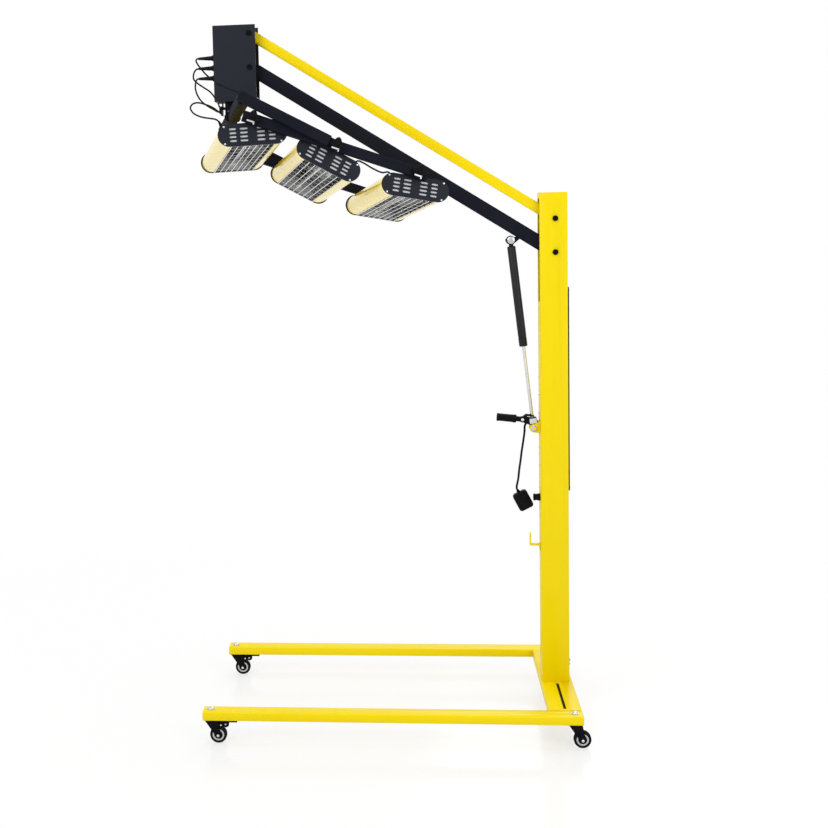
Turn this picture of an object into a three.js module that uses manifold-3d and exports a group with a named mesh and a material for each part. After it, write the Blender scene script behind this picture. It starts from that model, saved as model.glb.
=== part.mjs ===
import * as THREE from 'three';
import { mergeVertices } from 'three/addons/utils/BufferGeometryUtils.js';
import Module from 'manifold-3d';

// A wheeled infrared paint curing lamp: a U-shaped base on castors, a steel column, a parallel arm held
// by a gas strut, a control box, and a head of three lamp cassettes hung between two beams.
// Millimetres, +Z up, the floor at Z = 0. The legs point to -X, and the arm moves in the plane of X and Z.

const wasm = await Module();
wasm.setup();
const deg = Math.PI / 180;

// Sizes

const fit = { gap: 0.3, overrun: 4 }; // between pieces that touch, and how far a cut runs past its wall

const footprint = { centreX: 543.6, centreY: 358.84 }; // the part's own origin, on the floor

const base = {
  span: 1100, track: 610, legWidth: 56, legHeight: 27, wall: 2.2, top: 100, corner: 5,
  crossWidth: 93, crossWall: 3, slotWidth: 8, slotMargin: 10,
};

const castor = {
  wheelRadius: 25, wheelWidth: 18, treadCorner: 3.5, boreRadius: 4.3, facets: 24,
  trail: 21, frontStem: 22, rearInset: 23, plateRadius: 22, plateHeight: 5, cheekWall: 2.5, cheekGap: 1.2,
  topReach: 20, footRadius: 9, axleRadius: 4, axleHeadRadius: 7, axleHeadHeight: 4.5,
  boltRadius: 5, boltHeadRadius: 9, boltHeadHeight: 5,
};

const pedal = {
  reach: 77, width: 24, thickness: 4, drop: 1, pinX: 18, pinZ: 62, pinRadius: 2.2, pinBore: 2.5,
  ribInner: 4, ribOuter: 8, ribTop: 67.2, shoeX: 44, shoeZ: 47, shoeEnd: 52, heel: 13, heelZ: 58, toeZ: 56,
};

const column = {
  inset: 90, width: 82, depth: 74, top: 1591, wall: 3, corner: 3, slotWidth: 52, slotBottom: 1265,
  slotTopMargin: 18, coverBottom: 694, coverTop: 1309, coverWidth: 66, coverThickness: 3.5, windowMargin: 14,
};

const bolt = {
  radius: 5, bore: 5.3, headRadius: 8, headHeight: 4, socketRadius: 4, socketDepth: 2.5,
  spacerRadius: 9, nutRadius: 8, nutHeight: 6,
};

const arm = {
  pivotInset: 46, pivotZ: 1414, linkRise: 100, span: 1065, elevation: 32.6, lowerHeight: 41, lowerWidth: 40,
  linkHeight: 29, linkWidth: 30, wall: 2, columnOver: 22, boxOver: 13,
};

const lug = { along: 129, drop: 37.5, wall: 3, topStart: 104, topEnd: 172, tipRadius: 14 };

const strut = {
  footReach: 19, footZ: 882, bodyRadius: 12.5, bodyWall: 2, bodyStart: 19, bodyEnd: 323, endWall: 5, ringAt: 292,
  ringDepth: 0.8, ringWidth: 3, neckRadius: 7, eyeRadius: 13, eyeWidth: 14, discRadius: 11, discHeight: 4,
  rodRadius: 5, rodBore: 5.3, pistonRadius: 10, pistonStart: 282, pistonHeight: 12, blockRadius: 9.5,
  blockStart: 543, blockEnd: 561, footEyeRadius: 8.5, footEyeWidth: 14,
};

const release = {
  reach: 33, rise: 26, tilt: 6.3, pinRadius: 3, pinBore: 3.3, bossRadius: 9, width: 25.4, cheekWall: 3,
  cheekRadius: 8, gripRadius: 12.5, gripRound: 3, gripStart: 18, gripEnd: 77, collarRadius: 8, tongueStart: 13,
  tongueEnd: 33, tongueLow: 12, tongueHigh: 17, tongueSlot: 11, blockBore: 9.8, blockLow: 12, blockHigh: 32,
  blockBack: 11.5, nutRadius: 6, nutLength: 2, nutDrop: 8,
};

const bracket = {
  noseRadius: 12.5, drop: 15, height: 35, width: 32, wall: 3, headRadius: 7.5, headHeight: 4, eyeClearance: 0.6,
};

const studs = { first: 769, pitch: 54, count: 6, bracketIndex: 2, headRadius: 4, headHeight: 3.5 };

const peg = { z: 668, radius: 11, neckRadius: 8.5, depth: 20.5, rim: 2, neckStart: 4, neckEnd: 11 };

const hook = { z: 519, reach: 32, rise: 38, thickness: 4, width: 22, plateDrop: 16, plate: 3 };

const gland = { inset: 17, z: 112, baseRadius: 9, baseLength: 8, rootRadius: 7, tipRadius: 5, reachOut: 30, shank: 6, reach: 6 };

const box = {
  before: 108.788, after: 19.212, below: 99.791, overLink: 25.209, depth: 90, wall: 2.5, cellWidth: 77.5,
  splitRiseLeft: 59, splitRiseRight: 4, coverInset: 1.5, coverWall: 2.5, footReach: 115,
};

const boot = { drop: 91, pitch: 30, count: 3, baseRadius: 9, baseLength: 9, rootRadius: 7, tipRadius: 3.6, reachOut: 52, reach: 6 };

const timer = {
  inset: 42, drop: 73, size: 56, depth: 34, spindle: 4, spindleBore: 4.3, knobRadius: 19, knobDepth: 14, skirt: 4,
  gripRadius: 13, gripWidth: 7,
};

const swivel = {
  inset: 48, drop: 45, yaw: 13.4, rock: -6.1, pinRadius: 10, pinBore: 10.3, pinLength: 20.7, flangeRadius: 16,
  flangeHeight: 8, blockHalf: 16, blockFloor: 20.5, cheekWall: 5, cheekDrop: 13, clampReach: 34, clampWall: 3,
  clampNear: -14, clampFar: 30, clampLow: 6, clampHigh: 34,
};

const yoke = { tube: 30, wall: 2, depth: 18, rise: 2, leftOver: 16, lugWall: 5, stop: 24, lugRadius: 14, overlap: 1 };

const beam = { slope: 19.1, pitch: 252, centreX: 261, centreZ: -136, height: 30, depth: 18, wall: 1.5, overhang: 27, bushRadius: 9 };

const knob = {
  radius: 19, lobe: 3, lobes: 4, height: 13, points: 16, washerRadius: 10, washerHeight: 2, studRadius: 4,
  studBore: 4.3, capRadius: 6, capHeight: 3, studReach: 4,
};

const lamp = {
  span: 550, width: 200, height: 65, plate: 2.5, shell: 1.2, shellInset: 1, pivotRise: 41.5, earRadius: 12,
  mouthHalf: 61, reflectorWall: 1, reflectorHalf: 60, reflectorRise: 46, reflectorFoot: -27.5,
  tubeRadius: 6, tubeDrop: 6, ceramic: 14, ceramicLength: 34, nutHeight: 5,
};

const vent = { rows: 4, rowPitch: 11.2, height: 5.6, inner: 23, outer: 20, innerAt: 24.5, outerAt: 56 };

const grille = { wire: 2, crossCount: 10, longCount: 4, half: 64, wireGap: 0.4 };

const mains = {
  diameter: 6.6, sides: 8, innerRadius: 26.6, pitch: 7.1, lift: 7.1, firstTurn: 1.75, turns: 7.5, spacing: 3,
  climb: 0.5, coilY: 440, coilZ: 104, coilSides: 6, coilSteps: 24,
  lead: 6.6,
};

const plug = {
  reach: 50.1, y: 352, z: 654.3, width: 46, tall: 57, depth: 24, corner: 9, tilt: -27.3, bootRadius: 5.5, bootLength: 7,
  pinWidth: 6.3, pinDepth: 4, pinLength: 20, earthWidth: 4, earthDepth: 8, earthDrop: 11, lineRise: 11, lineSpread: 11,
};

const cable = { diameter: 5, sides: 8, tieX: [58, 63.7], tieY: [330, 368], tieZ: [1855, 1876] };

const lampTilts = [-2.5, 29, 10.5]; // degrees from level, right side down

// Routes of the cords, point by point

const routes = {
  riseColumn: 1010, cableBox: [50, 1888],
  rise: [[1105, 432.9, 125.3], [1105, 428, 125.5], [1102, 418, 128.5], [1094, 407, 137], [1082, 392, 160], [1067, 380, 200],
    [1055, 376.5, 260], [1044.2, 375.4, 560], [1035.3, 375.4, 800], [1033.5, 375.4, 840], [1030, 375.4, 865],
    [1020, 375.4, 886], [1003, 374, 897], [988, 370, 900], [976, 364, 896], [968, 359, 886], [966, 355, 866],
    [962, 353, 838], [957, 352, 807], [953, 352, 776], [949, 352, 749], [946, 352, 722], [943, 352, 707],
    [941, 352, 697], [941.3, 352, 690.3], [943.3, 352, 686.4]],
  cables: [
    [[-2.6, 333, 2022], [-6, 333, 2021.6], [-9, 334.5, 2017], [-5, 338, 2006], [4, 342, 1994], [15, 350, 1979], [25, 362, 1969],
      [36, 378, 1961], [46, 388, 1945], [56, 392, 1915], [62, 384, 1888], [64, 372, 1876], [60, 362, 1872]],
    [[-2.6, 333, 1992], [-6.5, 333, 1991.3], [-13, 333.5, 1986], [-18, 336, 1976], [-19, 340, 1963], [-12, 348, 1953], [8, 362, 1938],
      [26, 378, 1925], [38, 386, 1908], [48, 385, 1890], [56, 364, 1874], [61, 350, 1867]],
    [[-2.6, 333, 1962], [-6, 333, 1961.4], [-10.5, 333, 1956], [-13, 333, 1945], [-13, 333, 1931], [-8, 333, 1914], [4, 333, 1895],
      [22, 334, 1880], [40, 337, 1869], [52, 338, 1862], [63, 338, 1859]],
  ],
  loop: [[63.7, 322, 1860], [58, 321.5, 1860.5], [52, 317, 1865], [46, 309, 1870], [34, 300, 1877], [20, 290, 1882], [13, 270, 1884],
    [2, 245, 1884], [-7, 220, 1878], [-10, 200, 1866], [0, 180, 1851], [20, 155, 1839], [42, 132, 1832],
    [62, 115, 1828], [78, 104, 1824], [88, 100, 1817]],
};

// Colours

function surface(color, roughness, metalness) {
  return new THREE.MeshStandardMaterial({ color, roughness, metalness });
}

const yellow = () => surface(0xf2d400, 0.42, 0);
const black = () => surface(0x24272e, 0.5, 0.1);
const rubber = () => surface(0x17181a, 0.75, 0);
const zinc = () => surface(0xc3c6c8, 0.3, 0.9);
const darkSteel = () => surface(0x44474c, 0.4, 0.4);

// Solids

function facingOut(geometry) {
  const at = geometry.attributes.position;
  const index = geometry.index.array;
  const [a, b, c] = [new THREE.Vector3(), new THREE.Vector3(), new THREE.Vector3()];
  let volume = 0;
  for (let i = 0; i < index.length; i += 3) {
    a.fromBufferAttribute(at, index[i]);
    b.fromBufferAttribute(at, index[i + 1]);
    c.fromBufferAttribute(at, index[i + 2]);
    volume += a.dot(b.cross(c));
  }
  if (volume < 0) for (let i = 0; i < index.length; i += 3) [index[i + 1], index[i + 2]] = [index[i + 2], index[i + 1]];
  return geometry;
}

function solidOf(geometry) {
  const bare = geometry.clone();
  for (const name of Object.keys(bare.attributes)) if (name !== 'position') bare.deleteAttribute(name);
  const merged = facingOut(bare.userData.joined ? bare : mergeVertices(bare));
  return new wasm.Manifold(new wasm.Mesh({
    numProp: 3,
    vertProperties: Float32Array.from(merged.attributes.position.array),
    triVerts: Uint32Array.from(merged.index.array),
  }));
}

function geometryOf(solid) {
  const mesh = solid.asOriginal().simplify().getMesh();
  const geometry = new THREE.BufferGeometry();
  geometry.setAttribute('position', new THREE.BufferAttribute(Float32Array.from(mesh.vertProperties), 3));
  geometry.setIndex(Array.from(mesh.triVerts));
  geometry.computeVertexNormals();
  geometry.userData.joined = true;
  return geometry;
}

function combine(keep, cut = []) {
  let solid = solidOf(keep[0]);
  for (const piece of keep.slice(1)) solid = solid.add(solidOf(piece));
  for (const piece of cut) solid = solid.subtract(solidOf(piece));
  return geometryOf(solid);
}

function block(x0, x1, y0, y1, z0, z1) {
  const geometry = new THREE.BoxGeometry(x1 - x0, y1 - y0, z1 - z0);
  return geometry.translate((x0 + x1) / 2, (y0 + y1) / 2, (z0 + z1) / 2);
}

// A round bar from start to end along one axis, at the given place on the other two.
function bar(axis, radius, start, end, at = [0, 0, 0], sides = 12) {
  const geometry = new THREE.CylinderGeometry(radius, radius, end - start, sides);
  const middle = (start + end) / 2;
  if (axis === 'x') return geometry.rotateZ(-90 * deg).translate(middle, at[1], at[2]);
  if (axis === 'z') return geometry.rotateX(90 * deg).translate(at[0], at[1], middle);
  return geometry.translate(at[0], middle, at[2]);
}

function lathed(axis, profile, sides = 12) {
  const geometry = new THREE.LatheGeometry(profile.map(([r, h]) => new THREE.Vector2(r, h)), sides);
  if (axis === 'x') geometry.rotateZ(-90 * deg);
  if (axis === 'z') geometry.rotateX(90 * deg);
  return geometry;
}

const outline = (points) => new THREE.Shape(points.map(([x, y]) => new THREE.Vector2(x, y)));

// A shape drawn in X and Z, thickened from y0 to y1.
function slab(shape, y0, y1, curveSegments = 4) {
  const geometry = new THREE.ExtrudeGeometry(shape, { depth: y1 - y0, bevelEnabled: false, curveSegments });
  return geometry.rotateX(90 * deg).translate(0, y1, 0);
}

// A shape drawn in Y and Z, thickened from x0 to x1.
function runAlongX(shape, x0, x1, curveSegments = 1) {
  const geometry = new THREE.ExtrudeGeometry(shape, { depth: x1 - x0, bevelEnabled: false, curveSegments });
  return geometry.rotateX(90 * deg).rotateZ(90 * deg).translate(x0, 0, 0);
}

function upright(shape, z0, z1, curveSegments = 1) {
  const geometry = new THREE.ExtrudeGeometry(shape, { depth: z1 - z0, bevelEnabled: false, curveSegments });
  return geometry.translate(0, 0, z0);
}

function roundedRect(width, height, radius) {
  const x = width / 2 - radius, y = height / 2 - radius;
  const shape = new THREE.Shape();
  shape.absarc(x, -y, radius, -90 * deg, 0);
  shape.absarc(x, y, radius, 0, 90 * deg);
  shape.absarc(-x, y, radius, 90 * deg, 180 * deg);
  shape.absarc(-x, -y, radius, 180 * deg, 270 * deg);
  shape.closePath();
  return shape;
}

function cordTube(points, diameter, sides) {
  const curve = new THREE.CatmullRomCurve3(points.map((p) => new THREE.Vector3(...p)), false, 'centripetal');
  const steps = Math.min(Math.ceil(curve.getLength() / (diameter * mains.spacing)), 78);
  const section = new THREE.Shape();
  section.absarc(0, 0, diameter / 2, 0, 360 * deg);
  return new THREE.ExtrudeGeometry(section, { extrudePath: curve, steps, curveSegments: sides / 2, bevelEnabled: false });
}

// Assembly frames

const group = new THREE.Group();
group.name = 'infrared_paint_curing_lamp';
group.position.set(-footprint.centreX, -footprint.centreY, 0);

function frame(parent, name, position, rotation = [0, 0, 0]) {
  const child = new THREE.Group();
  child.name = name;
  child.position.set(...position);
  child.rotation.set(...rotation.map((angle) => angle * deg));
  parent.add(child);
  return child;
}

function place(parent, name, geometry, material) {
  const mesh = new THREE.Mesh(geometry, material);
  mesh.name = name;
  parent.add(mesh);
}

const middleY = (base.track + base.legWidth) / 2;
const legMiddle = base.legWidth / 2;
const legBottom = base.top - base.legHeight;
const crossLeft = base.span - base.crossWidth;
const columnLeft = base.span - column.inset;
const armX = columnLeft + arm.pivotInset;
const footX = columnLeft - strut.footReach;
const glandX = columnLeft + gland.inset;
const columnRight = columnLeft + column.width;
const columnNear = middleY - column.depth / 2;
const columnFar = middleY + column.depth / 2;
const boxX = armX - arm.span * Math.cos(arm.elevation * deg);
const boxZ = arm.pivotZ + arm.span * Math.sin(arm.elevation * deg);
const boxLeft = boxX - box.before;
const boxRight = boxX + box.after;
const boxTop = boxZ + arm.linkRise + box.overLink;
const boxBottom = boxZ - box.below;
const timerX = boxLeft + timer.inset;
const timerZ = boxTop - timer.drop;
const swivelX = boxLeft + swivel.inset;
const splitLeft = boxBottom + box.splitRiseLeft;
const splitRight = boxBottom + box.splitRiseRight;
const rearStem = base.span - castor.rearInset;

// Base

const stems = [
  { name: 'front_near', x: castor.frontStem, y: legMiddle, braked: true },
  { name: 'front_far', x: castor.frontStem, y: base.track + legMiddle, braked: true },
  { name: 'rear_near', x: rearStem, y: legMiddle, braked: false },
  { name: 'rear_far', x: rearStem, y: base.track + legMiddle, braked: false },
];

function leg(y) {
  const inner = base.wall;
  const tube = runAlongX(roundedRect(base.legWidth, base.legHeight, base.corner), 0, base.span);
  const hollow = runAlongX(roundedRect(base.legWidth - 2 * inner, base.legHeight - 2 * inner, base.corner - inner),
    inner, base.span - inner);
  const holes = [castor.frontStem, rearStem].map((x) => bar('z', castor.boltRadius + fit.gap,
    -base.legHeight, base.legHeight, [x, 0, 0]));
  return combine([tube], [hollow, ...holes]).translate(0, y, base.top - base.legHeight / 2);
}

function crossChannel() {
  const near = base.legWidth + fit.gap, far = base.track - fit.gap;
  const outer = block(crossLeft, base.span, near, far, legBottom, base.top);
  const hollow = block(crossLeft + base.crossWall, base.span - base.crossWall, near - fit.overrun,
    far + fit.overrun, legBottom - fit.overrun, base.top - base.crossWall);
  const middle = crossLeft + base.crossWidth / 2;
  const spans = [[near + base.slotMargin, columnNear - base.slotWidth],
    [columnFar + base.slotWidth, far - base.slotMargin]];
  const slots = spans.map(([y0, y1]) => block(middle - base.slotWidth / 2, middle + base.slotWidth / 2,
    y0, y1, legBottom, base.top + fit.overrun));
  return combine([outer], [hollow, ...slots]);
}

place(group, 'leg_near', leg(legMiddle), yellow());
place(group, 'leg_far', leg(base.track + legMiddle), yellow());
place(group, 'cross_channel', crossChannel(), yellow());

// Castors

const wheelZ = castor.wheelRadius;
const cheekInner = castor.wheelWidth / 2 + castor.cheekGap;
const cheekOuter = cheekInner + castor.cheekWall;
const plateTop = legBottom - fit.gap;
const plateBottom = plateTop - castor.plateHeight;

// The fork with its axle and with the stem that turns in the leg.
function castorFork(braked) {
  const side = new THREE.Shape();
  side.moveTo(-castor.topReach, plateTop);
  side.lineTo(castor.trail - castor.footRadius, wheelZ);
  side.absarc(castor.trail, wheelZ, castor.footRadius, 180 * deg, 360 * deg);
  side.lineTo(castor.topReach, plateTop);
  side.closePath();
  const head = cheekOuter + castor.axleHeadHeight, stemHead = base.top + fit.gap;
  const keep = [
    bar('z', castor.plateRadius, plateBottom, plateTop, [0, 0, 0], 16),
    slab(side, cheekInner, cheekOuter, 2), slab(side, -cheekOuter, -cheekInner, 2),
    bar('y', castor.axleRadius, -head, head, [castor.trail, 0, wheelZ], 8),
    bar('y', castor.axleHeadRadius, cheekOuter, head, [castor.trail, 0, wheelZ], 6),
    bar('y', castor.axleHeadRadius, -head, -cheekOuter, [castor.trail, 0, wheelZ], 6),
    bar('z', castor.boltRadius, plateBottom, stemHead + castor.boltHeadHeight / 2, [0, 0, 0], 8),
    lathed('z', [[0, 0], [castor.boltHeadRadius, 0], [castor.boltHeadRadius, castor.boltHeadHeight / 3],
      [castor.boltHeadRadius / 2, castor.boltHeadHeight], [0, castor.boltHeadHeight]], 8).translate(0, 0, stemHead),
  ];
  if (braked) keep.push(bar('y', pedal.pinRadius, -cheekOuter, cheekOuter, [pedal.pinX, 0, pedal.pinZ], 8));
  return combine(keep);
}

function castorWheel() {
  const rim = castor.wheelRadius / Math.cos(180 * deg / castor.facets);
  const half = castor.wheelWidth / 2, corner = castor.treadCorner;
  const wheel = lathed('y', [[castor.boreRadius, -half], [rim - corner, -half], [rim, corner - half],
    [rim, half - corner], [rim - corner, half], [castor.boreRadius, half], [castor.boreRadius, -half]], castor.facets);
  return combine([wheel.rotateY(180 * deg / castor.facets)]);
}

// The pedal's plate and its two ribs, which carry the shoe above the tread.
function brakePedal() {
  const top = plateTop - pedal.drop;
  const start = castor.plateRadius + pedal.drop;
  const rib = outline([[pedal.heel, pedal.heelZ], [start, pedal.toeZ], [pedal.shoeX, pedal.shoeZ],
    [pedal.shoeEnd, pedal.shoeZ + pedal.thickness], [pedal.shoeEnd, top], [start, top], [start, pedal.ribTop],
    [pedal.heel, pedal.ribTop]]);
  return combine([
    block(start, pedal.reach, -pedal.width / 2, pedal.width / 2, top - pedal.thickness, top),
    slab(rib, pedal.ribInner, pedal.ribOuter), slab(rib, -pedal.ribOuter, -pedal.ribInner),
    block(pedal.shoeX, pedal.shoeEnd, -pedal.ribOuter, pedal.ribOuter, pedal.shoeZ + pedal.thickness, top),
  ], [bar('y', pedal.pinBore, -pedal.width, pedal.width, [pedal.pinX, 0, pedal.pinZ], 10)]);
}

for (const { name, x, y, braked } of stems) {
  const stem = frame(group, `swivel_${name}`, [x, y, 0]);
  place(stem, `castor_fork_${name}`, castorFork(braked), black());
  const axle = frame(stem, `axle_${name}`, [castor.trail, 0, wheelZ]);
  place(axle, `castor_wheel_${name}`, castorWheel(), rubber());
  if (braked) {
    const pin = frame(stem, `pedal_${name}`, [pedal.pinX, 0, pedal.pinZ]);
    place(pin, `brake_pedal_${name}`, brakePedal().translate(-pedal.pinX, 0, -pedal.pinZ), black());
  }
}

// Column and what is bolted to it

const coverBack = columnRight + fit.gap + column.coverThickness;
const pivotHeights = [arm.pivotZ, arm.pivotZ + arm.linkRise];

function columnTube() {
  const inner = 2 * column.wall;
  const centre = [columnLeft + column.width / 2, middleY, 0];
  const tube = upright(roundedRect(column.width, column.depth, column.corner), base.top + fit.gap, column.top);
  const hollow = upright(roundedRect(column.width - inner, column.depth - inner, column.corner / 2),
    base.top - fit.overrun, column.top - column.wall);
  const slot = block(columnLeft - fit.overrun, columnLeft + column.wall + fit.overrun,
    middleY - column.slotWidth / 2, middleY + column.slotWidth / 2, column.slotBottom,
    column.top - column.slotTopMargin);
  const window = block(columnRight - column.wall - fit.overrun, columnRight + fit.overrun,
    middleY - column.coverWidth / 2 + column.windowMargin, middleY + column.coverWidth / 2 - column.windowMargin,
    column.coverBottom + column.windowMargin, column.coverTop - column.windowMargin);
  const pivots = pivotHeights.map((z) => bar('y', bolt.bore, columnNear - fit.overrun, columnFar + fit.overrun,
    [armX, 0, z], 12));
  const heads = Array.from({ length: studs.count }, (_, i) => i).filter((i) => i !== studs.bracketIndex).map(
    (i) => bar('x', studs.headRadius, columnLeft - studs.headHeight, columnLeft + column.wall / 2,
      [0, middleY, studs.first + i * studs.pitch], 8));
  const inlet = bar('y', gland.shank + fit.gap, columnFar - column.wall - fit.overrun, columnFar + fit.overrun,
    [glandX, 0, gland.z]);
  return combine([tube.translate(...centre), ...heads], [hollow.translate(...centre), slot, window, ...pivots, inlet]);
}

// A pivot bolt across Y at x = 0 and z = 0, held in the arm's bush, with the collars that centre the arm.
function pivotBolt(reach, wall, halfWidth) {
  const head = reach + fit.gap, collar = reach - wall - fit.gap;
  return {
    keep: [
      bar('y', bolt.radius, -head, head + bolt.nutHeight, [0, 0, 0], 8),
      bar('y', bolt.headRadius, -head - bolt.headHeight, -head, [0, 0, 0], 10),
      bar('y', bolt.nutRadius, head, head + bolt.nutHeight, [0, 0, 0], 6),
      bar('y', bolt.spacerRadius, -collar, -halfWidth + arm.wall / 2, [0, 0, 0], 8),
      bar('y', bolt.spacerRadius, halfWidth - arm.wall / 2, collar, [0, 0, 0], 8),
    ],
    cut: bar('y', bolt.socketRadius, -head - bolt.headHeight - fit.overrun, -head - bolt.headHeight + bolt.socketDepth,
      [0, 0, 0], 6),
  };
}

function strutBracket() {
  const face = columnLeft - fit.gap, bottom = strut.footZ - bracket.drop;
  const top = bottom + bracket.height, half = bracket.width / 2;
  const radius = bracket.noseRadius;
  const side = new THREE.Shape();
  side.moveTo(face, bottom);
  side.lineTo(face, top);
  side.lineTo(face - bracket.wall, top);
  side.absarc(footX, strut.footZ, radius, 80 * deg, 270 * deg);
  side.closePath();
  const whole = slab(side, middleY - half, middleY + half);
  const gap = block(footX - bracket.noseRadius - fit.overrun, face - bracket.wall, middleY - half + bracket.wall,
    middleY + half - bracket.wall, bottom - radius, top + fit.overrun);
  const stub = strut.footEyeWidth / 2 + bracket.eyeClearance;
  const bent = combine([whole], [gap]);
  return combine([bent, ...[-1, 1].flatMap((side) => {
    const reach = [stub, half + bracket.headHeight].map((y) => middleY + side * y);
    const head = [half - bracket.wall / 2, half + bracket.headHeight].map((y) => middleY + side * y);
    return [bar('y', bolt.radius, Math.min(...reach), Math.max(...reach), [footX, 0, strut.footZ]),
      bar('y', bracket.headRadius, Math.min(...head), Math.max(...head), [footX, 0, strut.footZ], 6)];
  })]);
}

function cordPeg() {
  const turned = lathed('x', [[0, 0], [peg.radius - peg.rim, 0], [peg.radius, peg.rim], [peg.radius, peg.neckStart],
    [peg.neckRadius, peg.neckStart + peg.rim], [peg.neckRadius, peg.neckEnd], [peg.radius, peg.neckEnd + peg.rim],
    [peg.radius, peg.depth], [0, peg.depth]]);
  return turned.translate(columnLeft - fit.gap - peg.depth, middleY, peg.z);
}

function mainsGland() {
  const face = columnFar + fit.gap;
  return combine([
    lathed('y', [[0, -gland.reach], [gland.shank, -gland.reach], [gland.shank, 0], [gland.baseRadius, 0],
      [gland.baseRadius, gland.baseLength], [gland.rootRadius, gland.baseLength], [gland.tipRadius, gland.reachOut],
      [0, gland.reachOut]]).translate(glandX, face, gland.z),
  ]);
}

function cordHook() {
  const face = columnLeft - fit.gap, tip = face - hook.reach, half = hook.width / 2;
  return combine([
    block(tip, face, middleY - half, middleY + half, hook.z, hook.z + hook.thickness),
    block(tip, tip + hook.thickness, middleY - half, middleY + half, hook.z, hook.z + hook.rise),
    block(face - hook.plate, face, middleY - half, middleY + half, hook.z - hook.plateDrop, hook.z + hook.thickness),
  ]);
}

function rearCover() {
  return block(coverBack - column.coverThickness, coverBack, middleY - column.coverWidth / 2,
    middleY + column.coverWidth / 2, column.coverBottom, column.coverTop);
}

place(group, 'column', columnTube(), yellow());
place(group, 'rear_cover', combine([rearCover()]), black());
place(group, 'strut_bracket', strutBracket(), yellow());
place(group, 'cord_peg', combine([cordPeg()]), black());
place(group, 'mains_gland', mainsGland(), black());
place(group, 'cord_hook', cordHook(), yellow());

// Lower arm and upper link. In their own frames the arm runs along -X from the column's pivot.

function armTube(width, height, extra, cuts) {
  const start = -(arm.span + arm.boxOver);
  const tube = block(start, arm.columnOver, -width / 2, width / 2, -height / 2, height / 2);
  const hollow = block(start - fit.overrun, arm.columnOver + fit.overrun, arm.wall - width / 2, width / 2 - arm.wall,
    arm.wall - height / 2, height / 2 - arm.wall);
  const atColumn = pivotBolt(column.depth / 2, column.wall, width / 2);
  const atBox = pivotBolt(box.depth / 2, box.wall, width / 2);
  const moved = (geometry) => geometry.translate(-arm.span, 0, 0);
  return combine([combine([tube], [hollow]), ...atColumn.keep, ...atBox.keep.map(moved), ...extra],
    [atColumn.cut, moved(atBox.cut), ...cuts]);
}

function lugCheek(y0, y1) {
  const top = lug.tipRadius - arm.lowerHeight / 2;
  const side = new THREE.Shape();
  side.moveTo(-lug.topEnd, top);
  side.absarc(-lug.along, -lug.drop, lug.tipRadius, 200 * deg, 350 * deg);
  side.lineTo(-lug.topStart, top);
  side.closePath();
  return slab(side, y0, y1);
}

function lowerArm() {
  const inner = arm.lowerWidth / 2 - arm.wall / 2, outer = arm.lowerWidth / 2 + lug.wall;
  return armTube(arm.lowerWidth, arm.lowerHeight, [lugCheek(inner, outer), lugCheek(-outer, -inner)],
    [bar('y', bolt.bore, -arm.lowerWidth, arm.lowerWidth, [-lug.along, 0, -lug.drop])]);
}

const lift = frame(group, 'arm_lift', [armX, middleY, arm.pivotZ], [0, arm.elevation, 0]);
place(lift, 'lower_arm', lowerArm(), black());
const linkSwing = frame(group, 'upper_link_swing', [armX, middleY, arm.pivotZ + arm.linkRise], [0, arm.elevation, 0]);
place(linkSwing, 'upper_link', armTube(arm.linkWidth, arm.linkHeight, [], []), yellow());

// Gas strut. Its own frame has the top eye at the origin and the rod running down along -Z.

const raised = arm.elevation * deg;
const eyeX = armX - lug.along * Math.cos(raised) - lug.drop * Math.sin(raised);
const eyeZ = arm.pivotZ + lug.along * Math.sin(raised) - lug.drop * Math.cos(raised);
const strutLength = Math.hypot(footX - eyeX, strut.footZ - eyeZ);
const strutLean = Math.atan2(eyeX - footX, eyeZ - strut.footZ) / deg;

function strutCylinder() {
  const { bodyRadius: outer, bodyStart: top, bodyEnd: end, ringAt, ringWidth, ringDepth } = strut;
  const chamber = outer - strut.bodyWall;
  const body = lathed('z', [[0, -top], [outer, -top], [outer, -ringAt], [outer - ringDepth, -ringAt],
    [outer - ringDepth, -ringAt - ringWidth], [outer, -ringAt - ringWidth], [outer, -end], [strut.rodBore, -end],
    [strut.rodBore, strut.endWall - end], [chamber, strut.endWall - end], [chamber, -top - strut.endWall],
    [0, -top - strut.endWall]]);
  const cheek = arm.lowerWidth / 2 + lug.wall + fit.gap;
  const inside = arm.lowerWidth / 2 - arm.wall / 2 - fit.gap;
  const near = -cheek - strut.discHeight;
  return combine([
    body,
    bar('z', strut.neckRadius, -top - strut.endWall / 2, 0),
    bar('y', strut.eyeRadius, -strut.eyeWidth / 2, strut.eyeWidth / 2, [0, 0, 0], 14),
    bar('y', strut.neckRadius, -inside, inside),
    bar('y', bolt.radius, near, cheek + bolt.nutHeight),
    bar('y', strut.discRadius, near, -cheek, [0, 0, 0], 16),
    bar('y', bolt.nutRadius, cheek, cheek + bolt.nutHeight, [0, 0, 0], 6),
  ], [bar('y', bolt.socketRadius, near - fit.overrun, near + bolt.socketDepth, [0, 0, 0], 6)]);
}

function strutRod() {
  const half = strut.footEyeWidth / 2;
  return combine([
    bar('z', strut.pistonRadius, -strut.pistonStart - strut.pistonHeight, -strut.pistonStart, [0, 0, 0], 20),
    bar('z', strut.rodRadius, strut.footEyeRadius - strutLength, -strut.pistonStart),
    bar('z', strut.blockRadius, -strut.blockEnd, -strut.blockStart, [0, 0, 0], 20),
    bar('y', strut.footEyeRadius, -half, half, [0, 0, -strutLength], 20),
    bar('z', strut.rodRadius, -strutLength, -strut.blockStart),
  ], [bar('y', bolt.bore, -strut.footEyeWidth, strut.footEyeWidth, [0, 0, -strutLength])]);
}

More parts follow.
